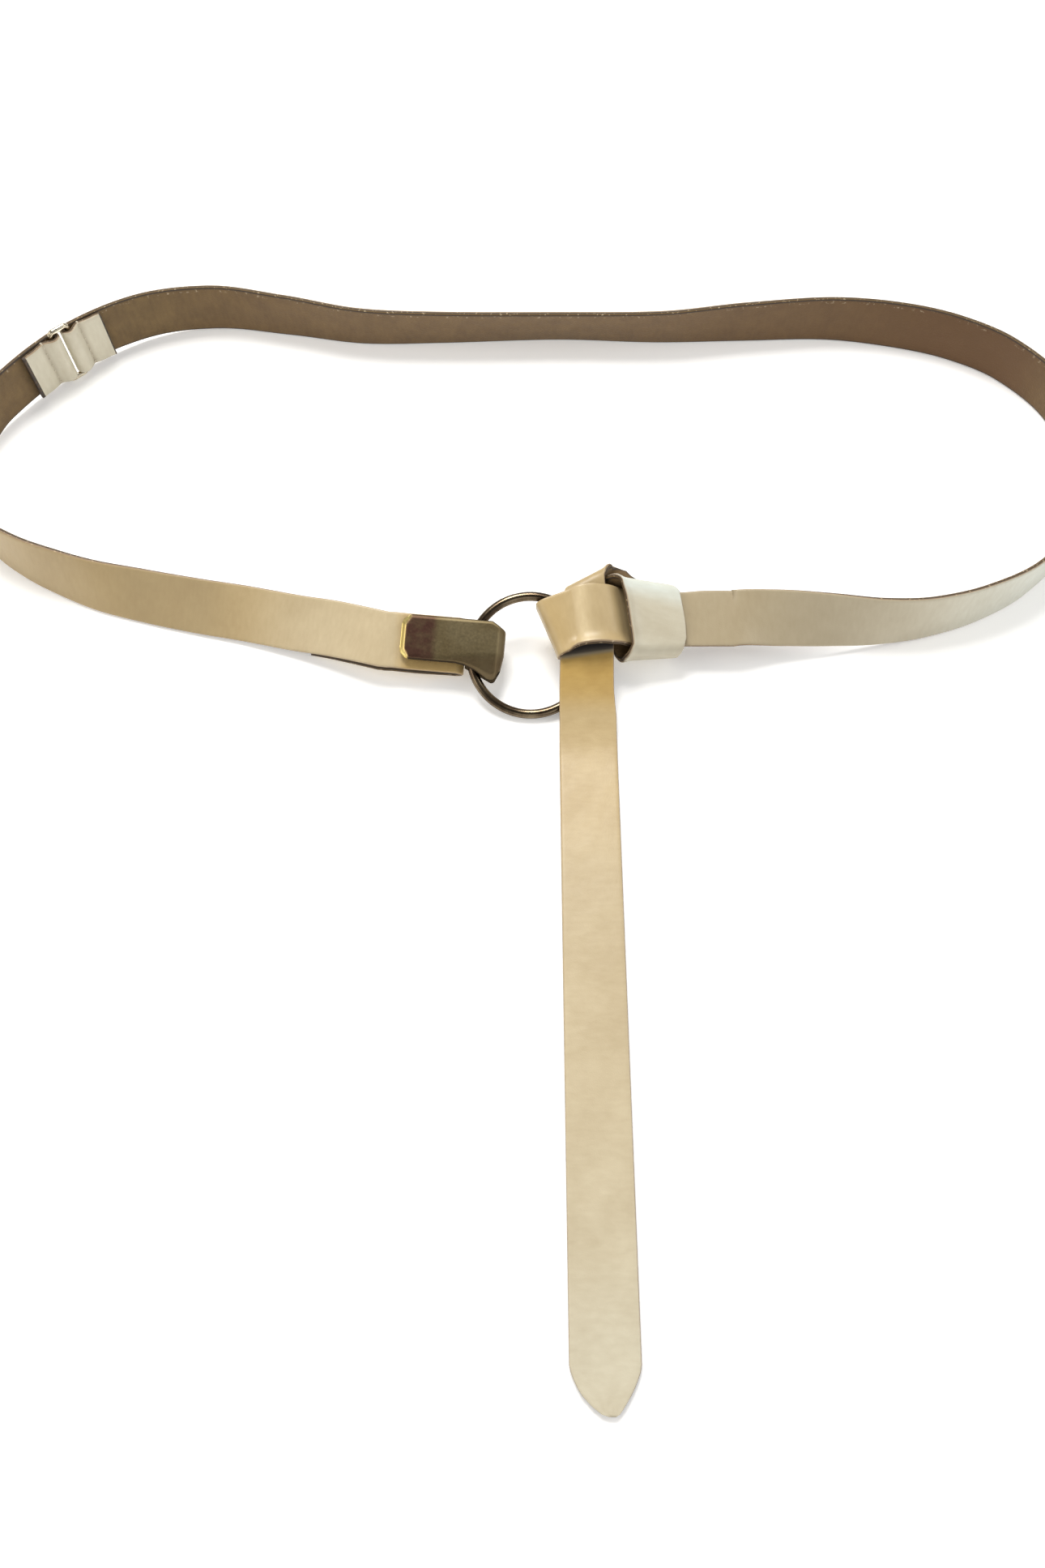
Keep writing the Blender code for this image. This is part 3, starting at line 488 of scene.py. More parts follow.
# The strap ends beside the link. Each is rolled round one of the link's bars, stitched down on
# its own lining where the flap comes down, and inked dark at the cut. The groove under the
# stitches is painted greyer as shade, and the cut end near black, ink and painted shade together.
# Their sides are -1 for the bar next to the long strap and 1 for the other. Reaches are shares of
# a flap's length. The link's direction is taken from the rulings a few places before and after it.
LINK_WIRE = 0.0022
LINK_SPACING = 0.0074
LINK_BESIDE = 3
LINK_FLAPS = {-1: 0.0143, 1: 0.0150}
FLAP_DOWN = 0.33
FLAP_BULGE = 0.0006
END_LIFT = 0.0005
END_REACH = 0.2
FLAP_STEPS = 28
FLAP_TAN = -0.02
# The groove's grey is painted shade
GROOVE_SHADE = 0.60
GROOVE_WIDE = 0.08
LONG_INKED_ROWS = 1


def eased(share):
    held = min(max(share, 0.0), 1.0)
    return held * held * (3 - 2 * held)


def link_frame(stations):
    # The two runs of strap beside the link, its middle on the strap, and its axes: along the
    # loop, up the strap and inwards
    row = [r for r in LOOP_ROWS if r[0] == "link"][0]
    shares = Vector((row[1] * LOOP_LENGTH, row[2] * LOOP_DEPTH, row[3] * STRAP_WIDTH))
    place = loop_middle + shares
    nearest = min(range(len(stations)), key=lambda i: (stations[i][1] - place).length)
    upper, lower, *_ = stations[nearest]
    up = (upper - lower).normalized()
    before, after = stations[nearest - LINK_BESIDE], stations[nearest + LINK_BESIDE]
    along = (after[1] - before[1]).normalized()
    inwards = up.cross(along).normalized()
    along = inwards.cross(up).normalized()
    room = LINK_SPACING / 2 + LOOP_STEP
    long_side = [s for s in stations[:nearest] if (s[1] - lower).length > room]
    short_side = [s for s in stations[nearest:] if (s[1] - lower).length > room]
    return long_side, short_side, (upper + lower) / 2, along, up, inwards


def flap_place(side, strap, share):
    # A place on a link flap's middle, the way up it and the way out of its face
    foot = link_middle + link_along * side * LINK_SPACING / 2
    middles = [foot] + [(station[0] + station[1]) / 2 for station in strap]
    ups = [link_up] + [(station[0] - station[1]).normalized() for station in strap]
    left = share * LINK_FLAPS[side]
    i = 0
    while left > (middles[i + 1] - middles[i]).length:
        left -= (middles[i + 1] - middles[i]).length
        i += 1
    along = middles[i + 1] - middles[i]
    part = left / along.length
    up = ups[i].lerp(ups[i + 1], part).normalized()
    out = up.cross(along).normalized()
    if out.dot(link_in) < 0:
        out = -out
    roll = LINK_WIRE + 2 * LAY_GAP + STRAP_THICKNESS
    past = min(max((share - FLAP_DOWN) / (1 - FLAP_DOWN), 0.0), 1.0)
    height = LAYER + (roll - LAYER) * eased(1 - share / FLAP_DOWN)
    height += FLAP_BULGE * math.sin(math.pi * past) + END_LIFT * eased(1 - (1 - share) / END_REACH)
    return middles[i].lerp(middles[i + 1], part) + out * height, up, out


def roll_stations(side, strap):
    # A strap end turned back round one bar of the link, from the cut end of its flap to the
    # outer layer. The groove where it is stitched down is painted greyer, as the shade in it.
    stations = []
    for k in range(FLAP_STEPS, 0, -1):
        share = k / FLAP_STEPS
        centre, up, _ = flap_place(side, strap, share)
        across = up * STRAP_WIDTH / 2
        groove_shade = GROOVE_SHADE * math.exp(-((share - FLAP_DOWN) / GROOVE_WIDE) ** 2)
        stations.append((centre + across, centre - across, FLAP_TAN, groove_shade))
    half = link_up * STRAP_WIDTH / 2
    radius = LINK_WIRE / 2 + LAY_GAP + STRAP_THICKNESS / 2
    bar = link_middle + link_along * side * LINK_SPACING / 2 + link_in * radius
    for k in range(ROLL_FACETS + 1):
        angle = math.pi * k / ROLL_FACETS
        round_bar = link_in * math.cos(angle) - link_along * side * math.sin(angle)
        centre = bar + round_bar * radius
        stations.append((centre + half, centre - half, FLAP_TAN, 0.0))
    return stations


def strap_section():
    # Once round a section: side, share across and share of the half thickness
    rows = []
    for side in (1, -1):
        for inset, height in SECTION:
            rows.append((side, side * (inset - 1), side * height))
        for inset, height in reversed(SECTION[:-1]):
            rows.append((side, side * (1 - inset), side * height))
    return rows


def strap_object(name, stations, outer_first, looks, inked_rows):
    # A closed leather strip with one section at each ruling, which starts with its inked rows. It
    # carries a UV map in metres, along the strap and round it, and the tan and dull shares (tone,
    # dirt and painted light), the ply and the share across of each point.
    section = strap_section()
    count = len(section)
    half_count = count // 2
    verts = []
    lengths = [0.0]
    outer = 1 if outer_first else -1
    for i, (upper, lower, _, _, *flares) in enumerate(stations):
        before, after = stations[max(i - 1, 0)], stations[min(i + 1, len(stations) - 1)]
        tangent = (after[0] + after[1]) - (before[0] + before[1])
        across = (lower - upper) / 2
        way = across.normalized()
        normal = across.cross(tangent).normalized()
        middle = (upper + lower) / 2
        for _, u, t in section:
            flare = EDGE_FLARE * flares[u > 0] if flares else 0.0
            reached = max(0.0, 1 - (1 - abs(u)) * STRAP_WIDTH / 2 / FLARE_REACH)
            slope = math.copysign(2 * flare * reached / FLARE_REACH, u) * outer
            square = (normal - way * slope).normalized() * STRAP_THICKNESS / 2 * t
            verts.append(middle + across * u + normal * outer * flare * reached**2 + square)
        if i:
            lengths.append(lengths[-1] + (middle - last_middle).length)
        last_middle = middle
    rounds = [0.0]
    for (_, u, t), (_, next_u, next_t) in zip(section, section[1:] + section[:1]):
        wide = (next_u - u) * STRAP_WIDTH / 2
        tall = (next_t - t) * STRAP_THICKNESS / 2
        rounds.append(rounds[-1] + math.hypot(wide, tall))
    faces = []
    slots = []
    for i in range(len(stations) - 1):
        for k in range(count):
            a, b = i * count + k, i * count + (k + 1) % count
            faces.append((a, b, b + count, a + count))
            from_edge = min(k % half_count, half_count - 1 - k % half_count)
            if i < inked_rows:
                slots.append(INKED)
            elif from_edge < CUT_EDGE_ROWS:
                slots.append(CUT)
            else:
                slots.append(OUTER if (k < half_count) == outer_first else LINED)
    faces.append(tuple(range(count))[::-1])
    faces.append(tuple(range(len(verts) - count, len(verts))))
    slots += [INKED, CUT]
    mesh = bpy.data.meshes.new(name)
    mesh.from_pydata(verts, [], faces)
    for look in looks:
        mesh.materials.append(look)
    mesh.polygons.foreach_set("material_index", slots)
    mesh.polygons.foreach_set("use_smooth", [True] * (len(faces) - 2) + [False] * 2)
    places = mesh.uv_layers.new(name="strap")
    for face in mesh.polygons[:-2]:
        i, k = divmod(face.index, count)
        corners = ((i, k), (i, k + 1), (i + 1, k + 1), (i + 1, k))
        for loop, (row, column) in zip(face.loop_indices, corners):
            places.data[loop].uv = (lengths[row], rounds[column])
    points = {
        "tan_and_painted_sheen": [station[2] for station in stations for _ in section],
        "dull": [station[3] for station in stations for _ in section],
        "ply": [outer * row[2] for _ in stations for row in section],
        "across": [row[1] for _ in stations for row in section],
    }
    for label, values in points.items():
        mesh.attributes.new(label, "FLOAT", "POINT").data.foreach_set("value", values)
    bm = bmesh.new()
    bm.from_mesh(mesh)
    bmesh.ops.recalc_face_normals(bm, faces=bm.faces)
    bm.to_mesh(mesh)
    bm.free()
    thing = bpy.data.objects.new(name, mesh)
    bpy.context.collection.objects.link(thing)
    return thing


# Leather
# A smooth full grain face, a napped brown lining, and a cut edge where both plies and the glue
# between them show. The face's tan is partly its own tone and partly painted sheen and painted
# highlight, the golden light the sheeny leather throws back.
CREAM = (0.635, 0.590, 0.458, 1.0)
CREAM_SHADE = (0.568, 0.515, 0.385, 1.0)
TAN = (0.510, 0.336, 0.102, 1.0)
TAN_SHADE = (0.450, 0.286, 0.081, 1.0)
# The colours that dull greys towards stand for dirt and for painted shade
DIRT_AND_SHADE = (0.290, 0.235, 0.150, 1.0)
LINING = (0.176, 0.107, 0.034, 1.0)
LINING_SHADE = (0.126, 0.075, 0.023, 1.0)
LINING_DIRT_AND_SHADE = (0.118, 0.054, 0.015, 1.0)
LINING_LINE = (0.040, 0.026, 0.016, 1.0)
LINING_FLECK = (0.430, 0.330, 0.210, 1.0)
FOLD_SHADE = (0.030, 0.028, 0.030, 1.0)
# The inked cut end, dark enough to be painted shade as well
END_DARK = (0.050, 0.040, 0.034, 1.0)
END_BROWN = (0.110, 0.070, 0.040, 1.0)
EDGE_OUTER = (0.300, 0.210, 0.125, 1.0)
EDGE_GLUE = (0.045, 0.032, 0.024, 1.0)
EDGE_FLECK = (0.550, 0.430, 0.270, 1.0)
# Grain and ripples: noise scales in repeats for each metre, heights in metres
MOTTLE_SPAN = (0.32, 0.68)
SPECKLES = 620.0
SPECKLE_STRETCH = (1.0, 0.35, 1.0)
SPECKLE_SHARE = 1.6
FINE_SHARE = 0.45
POLISH_SPREAD = 0.16
GRAIN_STRENGTH = 0.6
RIPPLES = 70.0
RIPPLE_HEIGHT = 0.0004
# Where dull goes past 1 it paints near-black shade, under folds and the arch
FOLD_SHADE_SPAN = (1.0, 1.8)
# Across the strap from its middle at 0 to its edges at 1 and -1
RUBBED = (0.955, 1.0)
RUB_PATCHES = 260.0
RUB_SHARE = 0.9
LINED_EDGE = (0.90, 0.96)
FLECKED_ABOVE = (-0.78, -0.84)
FLECKED_BELOW = (-0.95, -0.89)
FLECKS = 620.0
FLECK_SPAN = (0.57, 0.70)
# The cut edge from the lining at 0 to the outer face at 1
PLY_STOPS = ((0.30, LINING_SHADE), (0.46, EDGE_GLUE), (0.54, EDGE_GLUE), (0.68, EDGE_OUTER))
FIBRES = 900.0
FIBRE_HEIGHT = 0.00012
FIBRE_SPAN = (0.58, 0.72)
INK_SPAN = (0.4, 0.65)
CUT_ROUGHNESS = 0.7


def mixed(tree, factor, light, dark):
    # A colour between two, by a factor that changes over the surface. A factor below nought
    # takes the first colour further from the second.
    mix = tree.nodes.new("ShaderNodeMix")
    mix.data_type = "RGBA"
    mix.clamp_factor = False
    tree.links.new(factor, mix.inputs["Factor"])
    for value, name in ((light, "A"), (dark, "B")):
        if isinstance(value, tuple):
            socket(mix, name, value)
        else:
            tree.links.new(value, mix.inputs[name])
    return mix.outputs["Result"]


def attribute(tree, name):
    node = tree.nodes.new("ShaderNodeAttribute")
    node.attribute_name = name
    return node.outputs["Fac"]


def ranged(tree, value, span, least=0.0):
    # The least where a value is at or before the span, 1 where it is at or past it
    node = tree.nodes.new("ShaderNodeMapRange")
    socket(node, "From Min", span[0])
    socket(node, "From Max", span[1])
    socket(node, "To Min", least)
    tree.links.new(value, node.inputs["Value"])
    return node.outputs[0]


def combined(tree, operation, *values):
    node = tree.nodes.new("ShaderNodeMath")
    node.operation = operation
    for value, given in zip(values, node.inputs):
        if isinstance(value, float):
            given.default_value = value
        else:
            tree.links.new(value, given)
    return node.outputs[0]


def noise(tree, place, scale, detail):
    # Clouds from 0 to 1, with a scale that is a number or is given by another node
    node = tree.nodes.new("ShaderNodeTexNoise")
    if isinstance(scale, float):
        socket(node, "Scale", scale)
    else:
        tree.links.new(scale, node.inputs["Scale"])
    socket(node, "Detail", detail)
    tree.links.new(place, node.inputs["Vector"])
    return node.outputs[0]


def strap_place(tree):
    # Metres along the strap and round it
    node = tree.nodes.new("ShaderNodeUVMap")
    node.uv_map = "strap"
    return node.outputs[0]


def bumped(tree, height, distance, strength=1.0):
    # A normal from a height
    node = tree.nodes.new("ShaderNodeBump")
    socket(node, "Distance", distance)
    socket(node, "Strength", strength)
    tree.links.new(height, node.inputs["Height"])
    return node.outputs[0]


def grain_group():
    # Pores, fine grain and slow mottling: a colour between two, a roughness and a height
    group = bpy.data.node_groups.new("leather grain", "ShaderNodeTree")
    for way, kind, names in (
            ("INPUT", "NodeSocketVector", ("Place",)),
            ("INPUT", "NodeSocketColor", ("Light", "Dark")),
            ("INPUT", "NodeSocketFloat", ("Mottles", "Pores", "Roughness")),
            ("OUTPUT", "NodeSocketColor", ("Colour",)),
            ("OUTPUT", "NodeSocketFloat", ("Roughness", "Height"))):
        for name in names:
            group.interface.new_socket(name, in_out=way, socket_type=kind)
    given = group.nodes.new("NodeGroupInput").outputs
    made = group.nodes.new("NodeGroupOutput").inputs
    mottle = noise(group, given["Place"], given["Mottles"], 5.0)
    socket(mottle.node, "Roughness", 0.6)
    drawn = group.nodes.new("ShaderNodeVectorMath")
    drawn.operation = "MULTIPLY"
    drawn.inputs[1].default_value = SPECKLE_STRETCH
    group.links.new(given["Place"], drawn.inputs[0])
    speckle = noise(group, drawn.outputs[0], SPECKLES, 5.0)
    uneven = combined(group, "MULTIPLY_ADD", speckle, SPECKLE_SHARE, ranged(group, mottle, MOTTLE_SPAN))
    tone = combined(group, "SUBTRACT", uneven, SPECKLE_SHARE / 2)
    group.links.new(mixed(group, tone, given["Light"], given["Dark"]), made["Colour"])
    pores = group.nodes.new("ShaderNodeTexVoronoi")
    group.links.new(given["Place"], pores.inputs["Vector"])
    group.links.new(given["Pores"], pores.inputs["Scale"])
    fine = noise(group, given["Place"], given["Pores"], 3.0)
    finer = combined(group, "MULTIPLY", fine, FINE_SHARE)
    group.links.new(combined(group, "ADD", pores.outputs["Distance"], finer), made["Height"])
    polish = combined(group, "MULTIPLY_ADD", fine, POLISH_SPREAD, given["Roughness"])
    group.links.new(polish, made["Roughness"])
    return group


def leather_look(name, fresh, tan_and_sheen_shades, dirt_and_shade, mottles, pores, roughness, relief):
    # A leather face between a light and a dark shade, cream or tan by the tan share, which is partly
    # tone and partly painted sheen, and greyed by the dull share, dirt and painted shade. Returns the
    # material, its tree and shader, its colour before the edges' wear, and its place.
    look, tree, shader = new_look(name)
    place = strap_place(tree)
    tan_and_painted_sheen = attribute(tree, "tan_and_painted_sheen")
    grain = tree.nodes.new("ShaderNodeGroup")
    grain.node_tree = LEATHER_GRAIN
    socket(grain, "Mottles", mottles)
    socket(grain, "Pores", pores)
    socket(grain, "Roughness", roughness)
    tree.links.new(place, grain.inputs["Place"])
    tree.links.new(mixed(tree, tan_and_painted_sheen, fresh[0], tan_and_sheen_shades[0]), grain.inputs["Light"])
    tree.links.new(mixed(tree, tan_and_painted_sheen, fresh[1], tan_and_sheen_shades[1]), grain.inputs["Dark"])
    # Dull greys the colour, as dirt and as painted shade; below 0 it paints a paler highlight, and from
    # 1 on it paints near-black shadow.
    dull = attribute(tree, "dull")
    dirty_and_shaded = mixed(tree, combined(tree, "MINIMUM", dull, 1.0), grain.outputs["Colour"], dirt_and_shade)
    coloured = mixed(tree, ranged(tree, dull, FOLD_SHADE_SPAN), dirty_and_shaded, FOLD_SHADE)
    rippled = bumped(tree, noise(tree, place, RIPPLES, 2.0), RIPPLE_HEIGHT)
    pored = bumped(tree, grain.outputs["Height"], relief, GRAIN_STRENGTH)
    tree.links.new(rippled, pored.node.inputs["Normal"])
    tree.links.new(pored, shader.inputs["Normal"])
    tree.links.new(grain.outputs["Roughness"], shader.inputs["Roughness"])
    return look, tree, shader, coloured, place


def outer_face():
    # Cream leather, darker and burnished along both edges
    look, tree, shader, coloured, place = leather_look(
        "cream leather", (CREAM, CREAM_SHADE), (TAN, TAN_SHADE), DIRT_AND_SHADE,
        mottles=55.0, pores=2600.0, roughness=0.34, relief=0.00003)
    out = combined(tree, "ABSOLUTE", attribute(tree, "across"), 0.0)
    uneven = combined(tree, "MULTIPLY", noise(tree, place, RUB_PATCHES, 3.0), RUB_SHARE)
    rubbed = combined(tree, "MULTIPLY", ranged(tree, out, RUBBED), uneven)
    tree.links.new(mixed(tree, rubbed, coloured, EDGE_OUTER), shader.inputs["Base Color"])
    socket(shader, "Coat Weight", 0.12)
    socket(shader, "Coat Roughness", 0.35)
    return look


def lining_face():
    # Brown lining with a dark line along both edges and a row of pale flecks below the upper one
    plain = (LINING, LINING_SHADE)
    look, tree, shader, coloured, place = leather_look(
        "brown lining", plain, plain, LINING_DIRT_AND_SHADE,
        mottles=120.0, pores=1500.0, roughness=0.62, relief=0.0001)
    across = attribute(tree, "across")
    out = combined(tree, "ABSOLUTE", across, 0.0)
    lined = mixed(tree, ranged(tree, out, LINED_EDGE), coloured, LINING_LINE)
    above = ranged(tree, across, FLECKED_ABOVE)
    below = ranged(tree, across, FLECKED_BELOW)
    band = combined(tree, "MULTIPLY", above, below)
    few = ranged(tree, noise(tree, place, FLECKS, 4.0), FLECK_SPAN)
    flecks = combined(tree, "MULTIPLY", band, few)
    tree.links.new(mixed(tree, flecks, lined, LINING_FLECK), shader.inputs["Base Color"])
    socket(shader, "Sheen Weight", 0.18)
    socket(shader, "Sheen Roughness", 0.5)
    return look


def edge_look():
    # The cut edge: lining, glue line and outer ply, with pale fibres
    look, tree, shader = new_look("cut edge")
    place = strap_place(tree)
    plies = tree.nodes.new("ShaderNodeValToRGB")
    stops = plies.color_ramp.elements
    for stop, (position, colour) in zip(stops, (PLY_STOPS[0], PLY_STOPS[-1])):
        stop.position = position
        stop.color = colour
    for position, colour in PLY_STOPS[1:-1]:
        stops.new(position).color = colour
    fibres = noise(tree, place, FIBRES, 4.0)
    socket(shader, "Roughness", CUT_ROUGHNESS)
    tree.links.new(ranged(tree, attribute(tree, "ply"), (-1.0, 1.0)), plies.inputs[0])
    coloured = mixed(tree, ranged(tree, fibres, FIBRE_SPAN), plies.outputs[0], EDGE_FLECK)
    tree.links.new(coloured, shader.inputs["Base Color"])
    tree.links.new(bumped(tree, fibres, FIBRE_HEIGHT), shader.inputs["Normal"])
    return look


def end_look():
    # The inked cut end of a link flap, painted near black so that it carries the shade there too
    look, tree, shader = new_look("dark cut end")
    place = tree.nodes.new("ShaderNodeTexCoord").outputs["Object"]
    patches = ranged(tree, noise(tree, place, FIBRES, 4.0), INK_SPAN)
    tree.links.new(mixed(tree, patches, END_DARK, END_BROWN), shader.inputs["Base Color"])
    socket(shader, "Roughness", CUT_ROUGHNESS)
    return look


LEATHER_GRAIN = grain_group()
strap_looks = (outer_face(), lining_face(), edge_look(), end_look())

loop = loop_stations()
long_side, short_side, link_middle, link_along, link_up, link_in = link_frame(loop)
knot = knot_stations()
long_path = roll_stations(-1, long_side[::-1]) + long_side[:0:-1] + knot + tail_stations(knot[-1])
long_strap = strap_object("long_strap_leather", long_path, False, strap_looks, LONG_INKED_ROWS)
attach(long_strap, "root")
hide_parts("long_strap")


# The short strap
# The same leather from the link round the left end to the clasp. Its end goes under the hook
# plate, round the clasp's bar through a slot, and back along its own inside.
CLASP_FLAP = 0.0480
FLAP_DROP = 0.0007
CLASP_TAN = 0.85
CLASP_DULL = -0.10
SHORT_INKED_ROWS = 2
# Shares of the plate's length: where the straight part under it starts, and how far the fold
# takes to close
UNDER_PLATE = 0.45
FOLD_REACH = 0.38

clasp_leg = -(STRAP_THICKNESS / 2 + LAY_GAP + CLASP_BAR / 2)


def clasp_stations(*tone_and_painted_light):
    # The short strap under the plate, round the bar and back along its own inside
    radius = -clasp_leg
    half = STRAP_WIDTH / 2
    steps = round(FOLD_REACH * PLATE_LENGTH / LOOP_STEP)
    stations = []
    for k in range(steps):
        along = -(1 - k / steps) * UNDER_PLATE * PLATE_LENGTH
        stations.append((clasp_point(along, half, 0), clasp_point(along, -half, 0), *tone_and_painted_light))
    for k in range(ROLL_FACETS + 1):
        angle = math.pi * k / ROLL_FACETS
        along = radius * math.sin(angle)
        level = clasp_leg + radius * math.cos(angle)
        stations.append((clasp_point(along, half, level), clasp_point(along, -half, level), *tone_and_painted_light))
    for k in range(1, steps + 1):
        along = -k / steps * FOLD_REACH * PLATE_LENGTH
        done = eased(k / steps)
        level = 2 * clasp_leg + (-LAYER - 2 * clasp_leg) * done
        up = half - FLAP_DROP * done
        low = -half - FLAP_DROP * done
        stations.append((clasp_point(along, up, level), clasp_point(along, low, level), *tone_and_painted_light))
    return stations


def flap_beside(stations, length):
    # The short strap's turned back end, which follows its inside one layer away
    flap = []
    travelled = 0.0
    i = len(stations) - 1
    while travelled < length:
        upper, lower, *tone_and_painted_light = stations[i]
        ahead = stations[min(i + 1, len(stations) - 1)]
        before = stations[i - 1]
        up = (upper - lower).normalized()
        shift = up.cross(ahead[1] - before[1]).normalized() * LAYER - up * FLAP_DROP
        flap.append((upper + shift, lower + shift, *tone_and_painted_light))
        travelled += (lower - before[1]).length
        i -= 1
    return flap


short_path = roll_stations(1, short_side) + short_side + clasp_stations(CLASP_TAN, CLASP_DULL)
short_path += flap_beside(loop, CLASP_FLAP - FOLD_REACH * PLATE_LENGTH)
short_strap = strap_object("short_strap_leather", short_path, True, strap_looks, SHORT_INKED_ROWS)
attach(short_strap, "root")
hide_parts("short_strap")


# The stitches
# A row of cream thread across each rolled end beside the link, with one loop of thread over the
# strap's upper edge. Each stitch is a short, slightly sunk spindle.
STITCHES = 7
STITCH_LENGTH = 0.0020
STITCH_WIDE = 0.00036
STITCH_POINT = 0.05
STITCH_SIDES = 10
STITCH_RINGS = 8
THREAD = (0.66, 0.61, 0.49, 1.0)
THREAD_SHADE = (0.42, 0.36, 0.26, 1.0)
THREAD_TWISTS = 900.0
THREAD_RELIEF = 0.00005


def piece_from(name, bm):
    # An object from a mesh in the making, with its faces turned outwards
    bmesh.ops.recalc_face_normals(bm, faces=bm.faces)
    mesh = bpy.data.meshes.new(name)
    bm.to_mesh(mesh)
    bm.free()
    thing = bpy.data.objects.new(name, mesh)
    bpy.context.collection.objects.link(thing)
    return thing


def spindle(bm, middle, way, out, length):
    # One stitch: a bowed spindle along its way, round in section
    side = way.cross(out)
    rings = []
    for i in range(STITCH_RINGS + 1):
        share = i / STITCH_RINGS * 2 - 1
        wide = STITCH_WIDE * max(math.sqrt(1 - share * share), STITCH_POINT)
        centre = middle + way * share * length / 2 - out * STITCH_WIDE * share * share
        turns = [2 * math.pi * k / STITCH_SIDES for k in range(STITCH_SIDES)]
        rings.append([
            bm.verts.new(centre + side * wide * math.cos(t) + out * wide * math.sin(t)) for t in turns
        ])
    for a, b in zip(rings, rings[1:]):
        for k in range(STITCH_SIDES):
            m = (k + 1) % STITCH_SIDES
            bm.faces.new((a[k], b[k], b[m], a[m])).smooth = True
    bm.faces.new(rings[0])
    bm.faces.new(rings[-1][::-1])


def stitch_row(name, side, strap):
    # The row lies in the groove of the flap, with one loop of thread over its upper edge
    middle, way, out = flap_place(side, strap, FLAP_DOWN)
    low = middle - way * STRAP_WIDTH / 2 + out * STRAP_THICKNESS / 2
    pitch = STRAP_WIDTH / STITCHES
    bm = bmesh.new()
    for k in range(STITCHES):
        spindle(bm, low + way * pitch * (k + 0.5), way, out, STITCH_LENGTH)
    spindle(bm, middle + way * STRAP_WIDTH / 2, out, way, STITCH_LENGTH)
    return piece_from(name, bm)


def thread_look():
    # Twisted thread: fine slanting bands
    look, tree, shader = new_look("cream thread")
    place = tree.nodes.new("ShaderNodeTexCoord")
    twist = tree.nodes.new("ShaderNodeTexWave")
    twist.bands_direction = "DIAGONAL"
    socket(twist, "Scale", THREAD_TWISTS)
    tree.links.new(place.outputs["Object"], twist.inputs["Vector"])
    coloured = mixed(tree, twist.outputs["Fac"], THREAD, THREAD_SHADE)
    tree.links.new(coloured, shader.inputs["Base Color"])
    tree.links.new(bumped(tree, twist.outputs["Fac"], THREAD_RELIEF), shader.inputs["Normal"])
    socket(shader, "Roughness", 0.75)
    return look


thread = thread_look()
for name, side, strap, slot_name in (
        ("long_stitches", -1, long_side[::-1], "long_strap"),
        ("short_stitches", 1, short_side, "short_strap")):
    row = stitch_row(name, side, strap)
    row.data.materials.append(thread)
    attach(row, "root")


# The link
# A small rectangle of polished wire that joins the two straps at the back. Each strap end is
# rolled round one of its upright bars.
LINK_CORNER = 0.0014
SIDE_GAP = 0.0004
LINK_FACETS = 20
CORNER_FACETS = 8
LINK_COLOUR = (0.80, 0.74, 0.60, 1.0)
LINK_DULL = (0.52, 0.44, 0.30, 1.0)
# Any metal here: where its patches dull, its fine rubbing, and how much rougher that makes it
DULL_SPAN = (0.38, 0.66)
RUBBING = 1400.0
RUBBING_HEIGHT = 0.00001
RUBBING_STRENGTH = 0.5
RUBBED_ROUGHER = 0.14


def metal_look(name, bright, dull, roughness, spots):
    # Plated metal, dulled in soft patches and finely rubbed. Returns the material, its tree and
    # shader, its colour and its roughness.
    look, tree, shader = new_look(name)
    place = tree.nodes.new("ShaderNodeTexCoord").outputs["Object"]
    dulled = ranged(tree, noise(tree, place, spots, 4.0), DULL_SPAN)
    rubbed = noise(tree, place, RUBBING, 3.0)
    polish = tree.nodes.new("ShaderNodeMapRange")
    socket(polish, "To Min", roughness)
    socket(polish, "To Max", roughness + RUBBED_ROUGHER)
    scratched = bumped(tree, rubbed, RUBBING_HEIGHT, RUBBING_STRENGTH)
    socket(shader, "Metallic", 1.0)
    coloured = mixed(tree, dulled, bright, dull)
    tree.links.new(coloured, shader.inputs["Base Color"])
    tree.links.new(rubbed, polish.inputs["Value"])
    tree.links.new(polish.outputs[0], shader.inputs["Roughness"])
    tree.links.new(scratched, shader.inputs["Normal"])
    return look, tree, shader, coloured, polish.outputs[0]


def link_wire():
    # The four sides, each a straight wire from one rounded corner to the next
    radius = LINK_WIRE / 2 + LAY_GAP + STRAP_THICKNESS / 2
    centre = link_middle + link_in * radius
    wide = LINK_SPACING / 2 - LINK_CORNER
    tall = STRAP_WIDTH / 2 + SIDE_GAP + LINK_WIRE / 2 - LINK_CORNER
    bm = bmesh.new()
    rings = []
    for side_along, side_up, start in ((1, 1, 0), (-1, 1, 90), (-1, -1, 180), (1, -1, 270)):
        corner = centre + link_along * side_along * wide + link_up * side_up * tall
        for k in range(CORNER_FACETS + 1):
            turn = math.radians(start + 90 * k / CORNER_FACETS)
            outward = link_along * math.cos(turn) + link_up * math.sin(turn)
            ring = []
            for j in range(LINK_FACETS):
                angle = 2 * math.pi * j / LINK_FACETS
                offset = outward * math.cos(angle) + link_in * math.sin(angle)
                place = corner + outward * LINK_CORNER + offset * LINK_WIRE / 2
                ring.append(bm.verts.new(place))
            rings.append(ring)
    for a, b in zip(rings, rings[1:] + rings[:1]):
        for j in range(LINK_FACETS):
            k = (j + 1) % LINK_FACETS
            bm.faces.new((a[j], b[j], b[k], a[k])).smooth = True
    return piece_from("link_wire", bm)


link = link_wire()
link_look, *_ = metal_look("polished link", LINK_COLOUR, LINK_DULL, roughness=0.12, spots=220.0)
link.data.materials.append(link_look)
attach(link, "root")
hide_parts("link")


